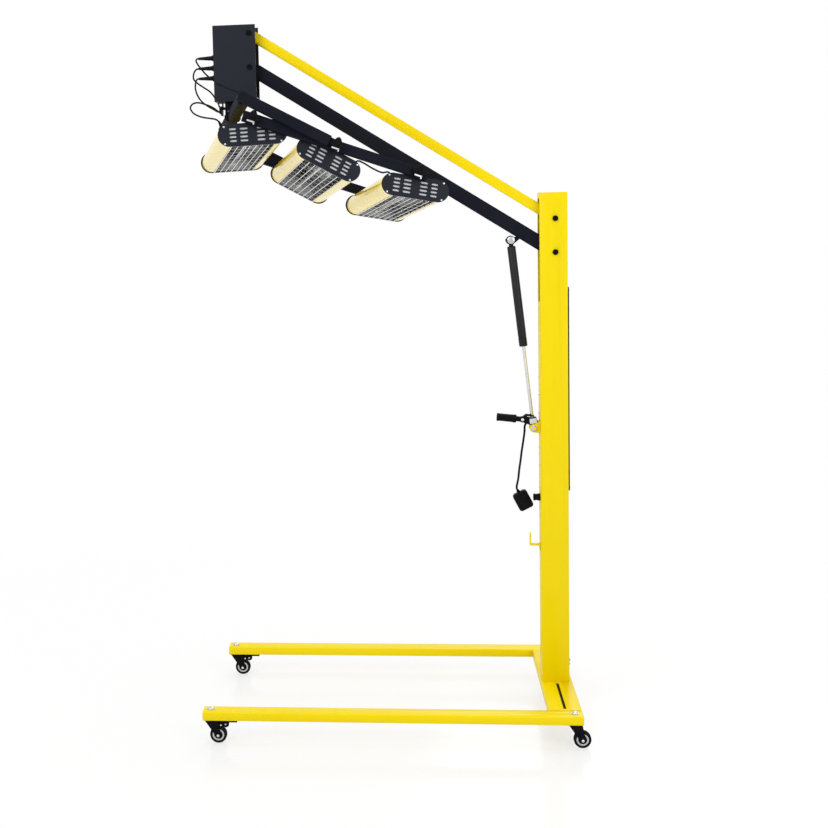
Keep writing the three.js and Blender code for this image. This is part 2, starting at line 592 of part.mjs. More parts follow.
const lean = strutLean * deg;
const releaseX = (footX - release.reach - eyeX) * Math.cos(lean) - (strut.footZ + release.rise - eyeZ) * Math.sin(lean);
const releaseZ = (footX - release.reach - eyeX) * Math.sin(lean) + (strut.footZ + release.rise - eyeZ) * Math.cos(lean);
const cheekInside = release.width / 2 - release.cheekWall;

function releaseClamp() {
  const low = release.blockLow - strutLength, high = release.blockHigh - strutLength;
  const cheek = new THREE.Shape();
  cheek.moveTo(-release.blockBack, low);
  cheek.lineTo(-release.blockBack / 2, high);
  cheek.absarc(releaseX, releaseZ, release.cheekRadius, 70 * deg, 270 * deg);
  cheek.closePath();
  const half = release.width / 2, nutZ = high - release.nutDrop;
  return combine([
    block(-release.blockBack, release.blockBack, -half, half, low, high),
    slab(cheek, cheekInside, half), slab(cheek, -half, -cheekInside),
    bar('y', release.pinRadius, -half, half, [releaseX, 0, releaseZ], 12),
    bar('x', release.nutRadius, release.blockBack / 2, release.blockBack + release.nutLength, [0, 0, nutZ], 6),
  ], [bar('z', release.blockBore, low - fit.overrun, fit.gap - strut.blockStart, [0, 0, 0], 20),
    bar('z', strut.rodBore, low, high + fit.overrun)]);
}

function releaseHandle() {
  const half = cheekInside - fit.gap, { gripStart, gripEnd, gripRadius, collarRadius, bossRadius } = release;
  const tongue = outline([[0, -bossRadius / 2], [bossRadius, -bossRadius / 2], [release.tongueStart, release.tongueLow],
    [release.tongueEnd, release.tongueLow], [release.tongueEnd, release.tongueHigh],
    [bossRadius, release.tongueHigh], [-bossRadius / 2, bossRadius / 2]]);
  const round = release.gripRound;
  return combine([
    lathed('x', [[0, -gripEnd], [gripRadius - round, -gripEnd], [gripRadius, round - gripEnd],
      [gripRadius, -gripStart - round], [gripRadius - round, -gripStart], [collarRadius, -gripStart],
      [collarRadius, 0], [0, 0]]),
    bar('y', bossRadius, -half, half, [0, 0, 0], 20),
    slab(tongue, -half, half),
  ], [bar('y', release.pinBore, -half - fit.overrun, half + fit.overrun, [0, 0, 0], 12),
    block(release.tongueStart, release.tongueEnd + fit.overrun, -release.tongueSlot / 2, release.tongueSlot / 2,
      -bossRadius, release.tongueHigh + fit.overrun)]);
}

const strutSwing = frame(lift, 'strut_swing', [-lug.along, 0, -lug.drop], [0, strutLean - arm.elevation, 0]);
place(strutSwing, 'strut_cylinder', strutCylinder(), darkSteel());
const strutSlide = frame(strutSwing, 'strut_slide', [0, 0, 0]);
place(strutSlide, 'strut_rod', strutRod(), zinc());
place(strutSlide, 'release_clamp', releaseClamp(), black());
const handle = frame(strutSlide, 'release_lever', [releaseX, 0, releaseZ], [0, release.tilt - strutLean, 0]);
place(handle, 'release_handle', releaseHandle(), rubber());

// Control box, drawn in the same place as the column and then carried by the arm's end.

const boxLevel = frame(lift, 'box_level', [-arm.span, 0, 0], [0, -arm.elevation, 0]);
const boxSpace = frame(boxLevel, 'box_space', [-boxX, -middleY, -boxZ]);
const boxNear = middleY - box.depth / 2;
const boxFar = middleY + box.depth / 2;
const cellEnd = boxLeft + box.wall + box.cellWidth;
const bayStart = cellEnd + box.wall;
const splitAt = (x) => splitLeft + (splitRight - splitLeft) * (x - boxLeft) / (boxRight - boxLeft);
const bootHeights = Array.from({ length: boot.count }, (_, i) => boxTop - boot.drop - i * boot.pitch);

// A cable gland clamped in the box's wall, with its long tapered boot.
function cableGland(z) {
  const profile = [[0, -boot.reach], [gland.shank, -boot.reach], [gland.shank, 0], [boot.baseRadius, 0],
    [boot.baseRadius, boot.baseLength], [boot.rootRadius, boot.baseLength], [boot.tipRadius, boot.reachOut], [0, boot.reachOut]];
  return lathed('x', profile, 10).rotateZ(180 * deg).translate(boxLeft, middleY, z);
}

function boxShell() {
  const left = boxLeft, right = boxRight, top = boxTop, wall = box.wall;
  const whole = slab(outline([[left, splitAt(left) + fit.gap], [right, splitAt(right) + fit.gap], [right, top],
    [left, top]]), boxNear, boxFar);
  const cell = slab(outline([[left + wall, splitAt(left) + 2 * wall], [cellEnd, splitAt(cellEnd) + 2 * wall],
    [cellEnd, top - wall], [left + wall, top - wall]]), boxNear + wall, boxFar + fit.overrun);
  const bay = slab(outline([[bayStart, splitAt(bayStart) + 2 * wall], [right + fit.overrun, splitAt(right) + 2 * wall],
    [right + fit.overrun, top + fit.overrun], [bayStart, top + fit.overrun]]), boxNear + wall, boxFar - wall);
  const pivots = [boxZ, boxZ + arm.linkRise].map((z) => bar('y', bolt.bore, boxNear - fit.overrun,
    boxFar + fit.overrun, [boxX, 0, z]));
  return combine([combine([whole], [cell, bay, ...pivots]), ...bootHeights.map(cableGland)]);
}

function boxFoot() {
  const left = boxLeft, right = boxRight, bottom = boxBottom, wall = box.wall;
  const wedge = slab(outline([[left, bottom], [right, bottom], [right, splitAt(right)], [left, splitAt(left)]]),
    boxNear, boxFar);
  const hollow = block(left + wall, left + box.footReach, boxNear + wall, boxFar - wall, bottom + wall, boxTop);
  const emptied = combine([wedge], [hollow]);
  return combine([emptied,
    bar('z', swivel.pinRadius, bottom - swivel.pinLength, bottom + wall, [swivelX, middleY, 0], 20),
    bar('z', swivel.flangeRadius, bottom, bottom + swivel.flangeHeight, [swivelX, middleY, 0], 20)]);
}

function boxCover() {
  const inset = box.coverInset, face = boxFar + fit.gap;
  const plate = slab(outline([[boxLeft + inset, splitAt(boxLeft) + 2 * inset], [bayStart, splitAt(bayStart) + 2 * inset],
    [bayStart, boxTop - inset], [boxLeft + inset, boxTop - inset]]), face, face + box.coverWall);
  return combine([plate], [bar('y', timer.spindleBore, face - fit.overrun, face + box.coverWall + fit.overrun,
    [timerX, 0, timerZ])]);
}

// The clockwork timer behind the cover, with its spindle.
function timerUnit() {
  const half = timer.size / 2, spindleEnd = boxFar + box.coverWall + timer.knobDepth / 2;
  return combine([
    block(timerX - half, timerX + half, boxFar - timer.depth, boxFar, timerZ - half, timerZ + half),
    bar('y', timer.spindle, boxFar - timer.depth / 2, spindleEnd, [timerX, 0, timerZ]),
  ]);
}

function timerKnob() {
  const start = boxFar + 2 * fit.gap + box.coverWall, end = start + timer.knobDepth;
  return combine([
    bar('y', timer.knobRadius, start, start + timer.skirt, [timerX, 0, timerZ], 28),
    bar('y', timer.gripRadius, start, end, [timerX, 0, timerZ], 20),
    block(timerX - timer.gripWidth / 2, timerX + timer.gripWidth / 2, start, end, timerZ,
      timerZ + timer.knobRadius - fit.gap),
  ], [bar('y', timer.spindleBore, start - fit.overrun, boxFar + box.coverWall + timer.knobDepth / 2 + fit.gap,
    [timerX, 0, timerZ])]);
}

place(boxSpace, 'box_shell', boxShell(), black());
place(boxSpace, 'box_foot', boxFoot(), black());
place(boxSpace, 'box_cover', boxCover(), black());
place(boxSpace, 'timer_unit', timerUnit(), surface(0xd9d6cc, 0.6, 0));
const knobTurn = frame(boxSpace, 'timer_turn', [timerX, middleY, timerZ]);
place(knobTurn, 'timer_knob', timerKnob().translate(-timerX, -middleY, -timerZ), rubber());

// Head: the swivel under the box, the yoke that rocks in it, and the two beams that tilt on the yoke

const swivelTurn = frame(boxSpace, 'head_swivel', [swivelX, middleY, boxBottom - swivel.drop], [0, 0, swivel.yaw]);
const cheekU = yoke.tube / 2 + fit.gap + swivel.cheekWall;

function swivelKnuckle() {
  const top = swivel.drop - fit.gap, head = cheekU + bolt.headHeight, half = swivel.blockHalf;
  const level = (geometry) => geometry.rotateZ(-swivel.yaw * deg);
  return combine([
    block(-cheekU, cheekU, -half, half, swivel.blockFloor, top),
    block(cheekU - swivel.cheekWall, cheekU, -half, half, -swivel.cheekDrop, swivel.blockFloor),
    block(-cheekU, swivel.cheekWall - cheekU, -half, half, -swivel.cheekDrop, swivel.blockFloor),
    bar('x', bolt.radius, -head, head),
    bar('x', bolt.headRadius, cheekU, head, [0, 0, 0], 20),
    bar('x', bolt.nutRadius, -head, -cheekU, [0, 0, 0], 6),
    level(block(-swivel.clampReach, swivel.clampWall - swivel.clampReach, swivel.clampNear, swivel.clampFar,
      swivel.clampLow, swivel.clampHigh)),
    level(block(-swivel.clampReach, swivel.cheekWall - cheekU, -half / 2, half / 2, swivel.blockFloor + swivel.clampWall,
      swivel.clampHigh - swivel.clampWall)),
  ], [bar('z', swivel.pinBore, swivel.blockFloor + swivel.clampWall, top + fit.overrun, [0, 0, 0], 20)]);
}

const rock = frame(swivelTurn, 'head_rock', [0, 0, 0], [swivel.rock, 0, 0]);
const plateFace = lamp.span / 2;
const beamInner = plateFace + 2 * fit.gap;
const beamOuter = beamInner + beam.depth;
const carrierInner = beamOuter + fit.gap;
const carrierOuter = carrierInner + yoke.depth;
const lugOuter = carrierInner + yoke.lugWall;
const carrierFall = Math.atan2(yoke.rise - beam.centreZ, beam.centreX);
const carrierLength = Math.hypot(yoke.rise - beam.centreZ, beam.centreX);

// One carrier in its own frame: along +X from the cross tube to the pivot of the beams.
function carrier() {
  const end = carrierLength - yoke.stop, half = yoke.tube / 2;
  const tube = block(-yoke.leftOver, end, carrierInner, carrierOuter, -half, half);
  const hollow = block(-yoke.leftOver - fit.overrun, end + fit.overrun, carrierInner + yoke.wall,
    carrierOuter - yoke.wall, yoke.wall - half, half - yoke.wall);
  const tongue = new THREE.Shape();
  tongue.moveTo(end - yoke.overlap, yoke.lugRadius);
  tongue.lineTo(end - yoke.overlap, -yoke.lugRadius);
  tongue.absarc(carrierLength, 0, yoke.lugRadius, -90 * deg, 90 * deg);
  tongue.closePath();
  return combine([combine([tube], [hollow]), slab(tongue, carrierInner, lugOuter)],
    [bar('y', knob.studBore, carrierInner - fit.overrun, carrierOuter, [carrierLength, 0, 0])]);
}

function yokeFrame() {
  const half = yoke.tube / 2, inner = half - yoke.wall;
  const cross = block(-half, half, -carrierInner - yoke.overlap, carrierInner + yoke.overlap, -half, half);
  const far = carrier().rotateY(carrierFall).translate(0, 0, yoke.rise);
  const near = far.clone().scale(1, -1, 1);
  return combine([cross, far, near], [
    block(-inner, inner, -carrierInner, carrierInner, -inner, inner),
    bar('x', bolt.bore, -half - fit.overrun, half + fit.overrun),
  ]);
}

const pivotPlaces = [-beam.pitch, 0, beam.pitch];
const beamTilt = frame(rock, 'frame_tilt', [beam.centreX, 0, beam.centreZ], [0, beam.slope, 0]);

function lampBeam(side) {
  const reach = beam.pitch + beam.overhang, half = beam.height / 2;
  const [y0, y1] = side > 0 ? [beamInner, beamOuter] : [-beamOuter, -beamInner];
  const tube = combine([block(-reach, reach, y0, y1, -half, half)],
    [block(-reach - fit.overrun, reach + fit.overrun, y0 + beam.wall, y1 - beam.wall, beam.wall - half, half - beam.wall)]);
  const bushes = pivotPlaces.map((x) => bar('y', beam.bushRadius, y0 + beam.wall / 2, y1 - beam.wall / 2, [x, 0, 0], 10));
  return combine([tube, ...bushes], pivotPlaces.map((x) => bar('y', knob.studBore, y0 - fit.overrun, y1 + fit.overrun,
    [x, 0, 0], 10)));
}

// A lobed hand knob on a stud that reaches inward from the face it clamps, at the origin.
function clampKnob(reach) {
  const profile = new THREE.Shape(Array.from({ length: knob.points }, (_, i) => {
    const angle = 360 * deg * i / knob.points;
    const radius = knob.radius + knob.lobe * Math.cos(knob.lobes * angle);
    return new THREE.Vector2(radius * Math.cos(angle), radius * Math.sin(angle));
  }));
  const seat = -fit.gap, body = seat - knob.washerHeight, outer = body - knob.height;
  return combine([
    slab(profile, outer, body),
    bar('y', knob.washerRadius, body, seat),
    bar('y', knob.studRadius, body, reach, [0, 0, 0], 10),
    bar('y', knob.capRadius, outer - knob.capHeight, outer, [0, 0, 0], 8),
  ]);
}

place(swivelTurn, 'swivel_knuckle', swivelKnuckle(), black());
place(rock, 'yoke', yokeFrame(), black());
place(beamTilt, 'lamp_beam_near', lampBeam(-1), black());
place(beamTilt, 'lamp_beam_far', lampBeam(1), black());
const earInside = -(plateFace - lamp.plate - knob.studReach);
pivotPlaces.forEach((x, i) => {
  const seat = x === 0 ? -lugOuter : -beamOuter;
  const turn = frame(beamTilt, `knob_turn_${i + 1}`, [x, seat, 0]);
  place(turn, `clamp_knob_${i + 1}`, clampKnob(earInside - seat), rubber());
});

// Lamp cassettes. Each one's frame is at its pivot, with the mouth facing down.

const plateRadius = lamp.height / 2;
const straight = lamp.width / 2 - plateRadius;
const innerFace = plateFace - lamp.plate;

function endPlate() {
  const shape = new THREE.Shape();
  const centre = -lamp.pivotRise, neck = lamp.earRadius;
  shape.absarc(straight, centre, plateRadius, -90 * deg, 90 * deg);
  shape.lineTo(neck, centre + plateRadius);
  shape.absarc(0, 0, neck, 0, 180 * deg);
  shape.lineTo(-neck, centre + plateRadius);
  shape.absarc(-straight, centre, plateRadius, 90 * deg, 270 * deg);
  shape.closePath();
  const slots = [];
  for (let row = 0; row < vent.rows; row += 1) {
    const z = centre + (row - (vent.rows - 1) / 2) * vent.rowPitch;
    for (const side of [-1, 1]) for (const [at, width] of [[vent.innerAt, vent.inner], [vent.outerAt, vent.outer]]) {
      slots.push(block(side * at - width / 2, side * at + width / 2, innerFace - fit.overrun, plateFace + fit.overrun,
        z - vent.height / 2, z + vent.height / 2));
    }
  }
  return combine([slab(shape, innerFace, plateFace, 3)], slots);
}

function nearPlate() {
  return combine([endPlate().scale(1, -1, 1)],
    [bar('y', knob.studBore, -plateFace - fit.overrun, -innerFace + fit.overrun, [0, 0, 0], 10)]);
}

// The far plate carries the fixed stud, with its nut outside the beam.
function farPlate(seat) {
  const nut = seat + fit.gap;
  return combine([endPlate(), bar('y', knob.studRadius, innerFace + lamp.plate / 2, nut + lamp.nutHeight, [0, 0, 0], 10),
    bar('y', bolt.nutRadius, nut, nut + lamp.nutHeight, [0, 0, 0], 6)]);
}

function lampHousing() {
  const outer = plateRadius - lamp.shellInset, inner = outer - lamp.shell;
  const shape = new THREE.Shape();
  shape.moveTo(lamp.mouthHalf, -outer);
  shape.absarc(straight, 0, outer, -90 * deg, 90 * deg);
  shape.absarc(-straight, 0, outer, 90 * deg, 270 * deg);
  shape.lineTo(-lamp.mouthHalf, -outer);
  shape.lineTo(-lamp.mouthHalf, -inner);
  shape.absarc(-straight, 0, inner, 270 * deg, 90 * deg, true);
  shape.absarc(straight, 0, inner, 90 * deg, -90 * deg, true);
  shape.lineTo(lamp.mouthHalf, -inner);
  shape.closePath();
  return slab(shape, fit.gap - innerFace, innerFace - fit.gap, 5).translate(0, 0, -lamp.pivotRise);
}

function lampReflector() {
  const { reflectorHalf: half, reflectorRise: rise, reflectorWall: wall } = lamp;
  const shape = new THREE.Shape();
  shape.absellipse(0, 0, half, rise, 0, 180 * deg);
  shape.absellipse(0, 0, half - wall, rise - wall, 180 * deg, 0, true);
  shape.closePath();
  return slab(shape, fit.gap - innerFace, innerFace - fit.gap, 4).translate(0, 0, lamp.reflectorFoot - lamp.pivotRise);
}

function lampTube() {
  const end = innerFace - fit.gap, start = end - lamp.ceramicLength, half = lamp.ceramic / 2;
  const z = -lamp.pivotRise - lamp.tubeDrop;
  return combine([
    bar('y', lamp.tubeRadius, -start - half, start + half, [0, 0, z], 12),
    block(-half, half, start, end, z - half, z + half),
    block(-half, half, -end, -start, z - half, z + half),
  ]);
}

// A welded grid of square wires under the mouth.
function lampGrille() {
  const top = lamp.shellInset - plateRadius - lamp.pivotRise - grille.wireGap;
  const end = innerFace - fit.gap, { half, wire } = grille;
  const spread = (count, reach) => Array.from({ length: count }, (_, i) => -reach + i * (2 * reach - wire) / (count - 1));
  return combine([
    ...spread(grille.longCount, half).map((x) => block(x, x + wire, -end, end, top - wire, top)),
    ...spread(grille.crossCount, end).map((y) => block(-half, half, y, y + wire, top - wire, top)),
  ]);
}

pivotPlaces.forEach((x, i) => {
  const tilt = frame(beamTilt, `lamp_tilt_${i + 1}`, [x, 0, 0], [0, lampTilts[i] - beam.slope, 0]);
  place(tilt, `lamp_${i + 1}_near_plate`, nearPlate(), black());
  place(tilt, `lamp_${i + 1}_far_plate`, farPlate(x === 0 ? lugOuter : beamOuter), black());
  place(tilt, `lamp_${i + 1}_housing`, combine([lampHousing()]), yellow());
  place(tilt, `lamp_${i + 1}_reflector`, combine([lampReflector()]), surface(0xe8eaec, 0.08, 1));
  place(tilt, `lamp_${i + 1}_tube`, lampTube(), surface(0xe9d9c8, 0.1, 0));
  place(tilt, `lamp_${i + 1}_grille`, lampGrille(), zinc());
});

// Cords

class CoilPath extends THREE.Curve {
  footLength = mains.coilY - columnFar - 2 * fit.gap - gland.reachOut;

  // Distance along the coil in turns gives the radius, the height and the angle.
  at(turn) {
    const past = turn - mains.firstTurn;
    const swing = Math.abs(((past % 4) + 4) % 4 - 2);
    const radius = mains.innerRadius + mains.pitch * (2 - swing);
    const flights = [0, 1, 2].map((i) => mains.firstTurn + 2 * i - mains.climb / 2);
    const climbed = flights.reduce((sum, start) => sum + Math.min(Math.max((turn - start) / mains.climb, 0), 1), 0);
    const angle = 180 * deg - 360 * deg * turn;
    const centreX = glandX + mains.innerRadius + mains.pitch * mains.firstTurn;
    return new THREE.Vector3(centreX + radius * Math.cos(angle), mains.coilY + radius * Math.sin(angle),
      mains.coilZ + mains.lift * climbed);
  }

  getPoint(t, target = new THREE.Vector3()) {
    const before = this.footLength / mains.innerRadius, after = mains.lead / mains.innerRadius;
    const turn = t * (mains.turns + before + after) - before;
    const inside = Math.min(Math.max(turn, 0), mains.turns);
    target.copy(this.at(inside));
    if (turn < 0) {
      const back = -turn / before;
      target.y -= back * this.footLength;
      target.z += (gland.z - mains.coilZ) * back * back * (3 - 2 * back);
    }
    if (turn > inside) target.y -= (turn - inside) * mains.innerRadius;
    return target;
  }
}

// The least distance between two turns of the coil, less the cord's own thickness.
function leastGap(curve) {
  const points = curve.getSpacedPoints(mains.turns * mains.coilSteps * 4);
  const step = curve.getLength() / (points.length - 1);
  const apart = Math.ceil(4 * mains.diameter / step);
  let least = Infinity;
  for (let i = 0; i < points.length; i += 1) for (let j = i + apart; j < points.length; j += 1) {
    least = Math.min(least, points[i].distanceTo(points[j]));
  }
  return least - mains.diameter;
}

function coilTube(curve) {
  const section = new THREE.Shape();
  section.absarc(0, 0, mains.diameter / 2, 0, 360 * deg);
  return new THREE.ExtrudeGeometry(section, { extrudePath: curve, steps: Math.round(mains.turns * mains.coilSteps) + mains.coilSides,
    curveSegments: mains.coilSides / 2, bevelEnabled: false });
}

function mainsPlug() {
  const half = plug.tall / 2, back = -plug.depth / 2;
  const body = slab(roundedRect(plug.width, plug.tall, plug.corner), back, plug.depth / 2);
  const pinTip = plug.depth / 2 + plug.pinLength, pinRoot = plug.depth / 4;
  const pins = [-1, 1].map((side) => block(side * plug.lineSpread - plug.pinWidth / 2,
    side * plug.lineSpread + plug.pinWidth / 2, pinRoot, pinTip, plug.lineRise - plug.pinDepth / 2,
    plug.lineRise + plug.pinDepth / 2));
  const earth = block(-plug.earthWidth / 2, plug.earthWidth / 2, pinRoot, pinTip,
    -plug.earthDrop - plug.earthDepth / 2, -plug.earthDrop + plug.earthDepth / 2);
  const sleeve = bar('z', plug.bootRadius, half - plug.bootLength, half + plug.bootLength, [0, 0, 0], 12);
  return combine([body, ...pins, earth, sleeve]);
}

const coil = new CoilPath();
console.log(`mains coil: least gap to itself ${leastGap(coil).toFixed(2)} mm, length ${coil.getLength().toFixed(0)} mm`);
const riseShift = columnLeft - routes.riseColumn;
place(group, 'mains_cord', combine([cordTube(routes.rise, mains.diameter, mains.sides)]).translate(riseShift, 0, 0),
  rubber());
place(group, 'mains_coil', combine([coilTube(coil)]), rubber());
const hanging = frame(group, 'plug_place', [columnLeft - plug.reach, plug.y, plug.z], [0, plug.tilt, 0]);
place(hanging, 'mains_plug', mainsPlug(), rubber());
const cableShift = [boxLeft - routes.cableBox[0], 0, boxBottom - routes.cableBox[1]];
const tie = block(...cable.tieX, ...cable.tieY, ...cable.tieZ);
place(boxSpace, 'lamp_cables', combine([tie, ...routes.cables.map((points) => cordTube(points, cable.diameter,
  cable.sides))]).translate(...cableShift), rubber());
beamTilt.updateWorldMatrix(true, false);
const toBeams = beamTilt.matrixWorld.clone().invert().multiply(group.matrixWorld);
place(beamTilt, 'lamp_leads', combine([cordTube(routes.loop, cable.diameter, cable.sides)]).translate(...cableShift)
  .applyMatrix4(toBeams), rubber());

export default group;
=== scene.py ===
from math import atan2, cos, degrees, hypot, pi, radians, sin

import bmesh
import bpy
from mathutils import Matrix, Vector


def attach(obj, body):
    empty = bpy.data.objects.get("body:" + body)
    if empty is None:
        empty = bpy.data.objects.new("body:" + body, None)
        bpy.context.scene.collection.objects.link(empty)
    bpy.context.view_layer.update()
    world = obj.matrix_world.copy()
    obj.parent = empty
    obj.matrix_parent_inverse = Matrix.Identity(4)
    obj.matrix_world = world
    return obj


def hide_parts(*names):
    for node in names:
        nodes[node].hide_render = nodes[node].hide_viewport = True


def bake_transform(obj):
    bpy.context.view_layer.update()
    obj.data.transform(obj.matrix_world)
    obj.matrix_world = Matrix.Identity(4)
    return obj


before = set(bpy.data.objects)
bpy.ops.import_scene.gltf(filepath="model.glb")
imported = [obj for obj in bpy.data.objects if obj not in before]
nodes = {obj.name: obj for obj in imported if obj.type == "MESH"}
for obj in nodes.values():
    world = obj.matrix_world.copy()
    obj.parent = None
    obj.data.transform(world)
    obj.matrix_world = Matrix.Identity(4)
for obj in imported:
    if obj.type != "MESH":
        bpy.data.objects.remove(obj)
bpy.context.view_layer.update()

# Wheeled infrared curing lamp. Shapes are drawn in millimetres in the frame of what carries them,
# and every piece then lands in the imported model's own place in metres.

scene = bpy.context.scene
toMetres = Matrix.Scale(0.001, 4)


def moved(x, y, z):
    return Matrix.Translation((x, y, z))


def turned(axis, angle):
    return Matrix.Rotation(radians(angle), 4, axis)


def addObject(name, data):
    made = bpy.data.objects.new(name, data)
    scene.collection.objects.link(made)
    return made


# A settings dict whose keys also read as attributes.
class Look(dict):
    __getattr__ = dict.__getitem__


# Places of the moving pieces, from the stand's own corner on the floor
middleY, armX, armZ, linkZ, armRise = 333.0, 1056, 1414, 1514, 32.6
lampPitch, beamSlope = 252.0, 19.1
lampAngles = (-2.5, 29.0, 10.5)
lampSeats = (293.6, 298.9, 293.6)
stand = moved(-543.6, -358.84, 0)
lift = stand @ moved(armX, middleY, armZ) @ turned("Y", armRise)
linkSwing = stand @ moved(armX, middleY, linkZ) @ turned("Y", armRise)
headSwivel = stand @ moved(98, middleY, 1843) @ turned("Z", 13.4)
headRock = headSwivel @ turned("X", -6.1)
headBeams = headRock @ moved(261, 0, -136) @ turned("Y", beamSlope)
lampPlaces = [
    headBeams @ moved((i - 1) * lampPitch, 0, 0) @ turned("Y", angle - beamSlope)
    for i, angle in enumerate(lampAngles)
]

# Camera

cameraLook = Look(
    place=(0.0884, -4.28484, 1.568), yaw=6.29, pitch=-5.81, roll=-1.54, lens=60.74, sensor=36,
    shift=(0.186, -0.0773), reach=100,
)


def buildCamera(look):
    yaw, pitch, roll = (radians(look[k]) for k in ("yaw", "pitch", "roll"))
    flat = cos(pitch)
    forward = Vector((-sin(yaw) * flat, cos(yaw) * flat, sin(pitch)))
    right = Vector((cos(yaw), sin(yaw), 0))
    up = right.cross(forward)
    across = right * cos(roll) + up * sin(roll)
    upward = up * cos(roll) - right * sin(roll)
    data = bpy.data.cameras.new("camera")
    data.lens, data.sensor_width, data.clip_end = look.lens, look.sensor, look.reach
    data.shift_x, data.shift_y = look.shift
    camera = addObject("camera", data)
    turn = Matrix((across, upward, -forward)).transposed()
    camera.matrix_world = Matrix.Translation(look.place) @ turn.to_4x4()
    scene.camera = camera


buildCamera(cameraLook)
print("camera placed")

# Finishes


def startMaterial(name):
    material = bpy.data.materials.new(name)
    material.use_nodes = True
    tree = material.node_tree
    return material, tree, tree.nodes["Principled BSDF"]


def setInputs(node, values):
    for key, value in values.items():
        node.inputs[key].default_value = value


def addNode(tree, kind, inputs=None, **settings):
    node = tree.nodes.new("ShaderNode" + kind)
    for key, value in settings.items():
        setattr(node, key, value)
    setInputs(node, inputs or {})
    return node


def addNoise(tree, scale, detail=3.0):
    place = addNode(tree, "TexCoord")
    cloud = addNode(tree, "TexNoise", {"Scale": scale, "Detail": detail, "Roughness": 0.55})
    tree.links.new(place.outputs["Object"], cloud.inputs["Vector"])
    return cloud.outputs["Fac"]


def addRange(tree, source, low, high, fromLow=0.3, fromHigh=0.7):
    limits = {"From Min": fromLow, "From Max": fromHigh, "To Min": low, "To Max": high}
    spread = addNode(tree, "MapRange", limits)
    tree.links.new(source, spread.inputs["Value"])
    return spread.outputs["Result"]


def addBlend(tree, shader, factor, first, second):
    blend = addNode(tree, "Mix", {"A": (*first, 1), "B": (*second, 1)}, data_type="RGBA")
    tree.links.new(factor, blend.inputs["Factor"])
    tree.links.new(blend.outputs["Result"], shader.inputs["Base Color"])


def addPatches(tree, shader, look):
    patches = addRange(tree, addNoise(tree, look.patchScale), 0, 1)
    addBlend(tree, shader, patches, look.colour, look.shade)


def addRough(tree, shader, scale, limits):
    tree.links.new(addRange(tree, addNoise(tree, scale), *limits), shader.inputs["Roughness"])


def addRelief(tree, shader, height, strength, distance):
    bump = addNode(tree, "Bump", {"Strength": strength, "Distance": distance})
    tree.links.new(height, bump.inputs["Height"])
    tree.links.new(bump.outputs["Normal"], shader.inputs["Normal"])


plainCoat = Look(peelScale=900, peel=0.2, peelDepth=0.0003, specular=0.5, coat=0.0, coatRough=0.2)


def coated(name, look):
    look = Look(plainCoat, **look)
    material, tree, shader = startMaterial(name)
    addPatches(tree, shader, look)
    addRough(tree, shader, look.patchScale * 3, look.rough)
    addRelief(tree, shader, addNoise(tree, look.peelScale, 2), look.peel, look.peelDepth)
    setInputs(shader, {"Coat Weight": look.coat, "Coat Roughness": look.coatRough,
                       "Specular IOR Level": look.specular})
    return material


def plainMetal(name, look):
    material, tree, shader = startMaterial(name)
    setInputs(shader, {"Metallic": 1})
    addPatches(tree, shader, look)
    addRough(tree, shader, look.patchScale * 4, look.rough)
    addRelief(tree, shader, addNoise(tree, look.grainScale, 3), look.grain, 0.0004)
    return material


def quartzGlass(look):
    material, tree, shader = startMaterial("quartz tube")
    addPatches(tree, shader, look)
    setInputs(shader, {"Roughness": look.rough, "Transmission Weight": look.passes, "IOR": look.bend})
    return material


def hammeredSheet(look):
    material, tree, shader = startMaterial("hammered reflector")
    setInputs(shader, {"Metallic": 1})
    # The colour flips between dark and bright cells: painted reflection of the hammered facets. The same
    # dents also give real bumps.
    dents = addNoise(tree, look.dentScale, 2)
    paintedReflectionCells = addRange(tree, dents, 0, 1, *look.dentRange)
    addBlend(tree, shader, paintedReflectionCells, look.dark, look.bright)
    addRough(tree, shader, look.dentScale * 2, look.rough)
    addRelief(tree, shader, dents, look.dent, look.dentDepth)
    return material


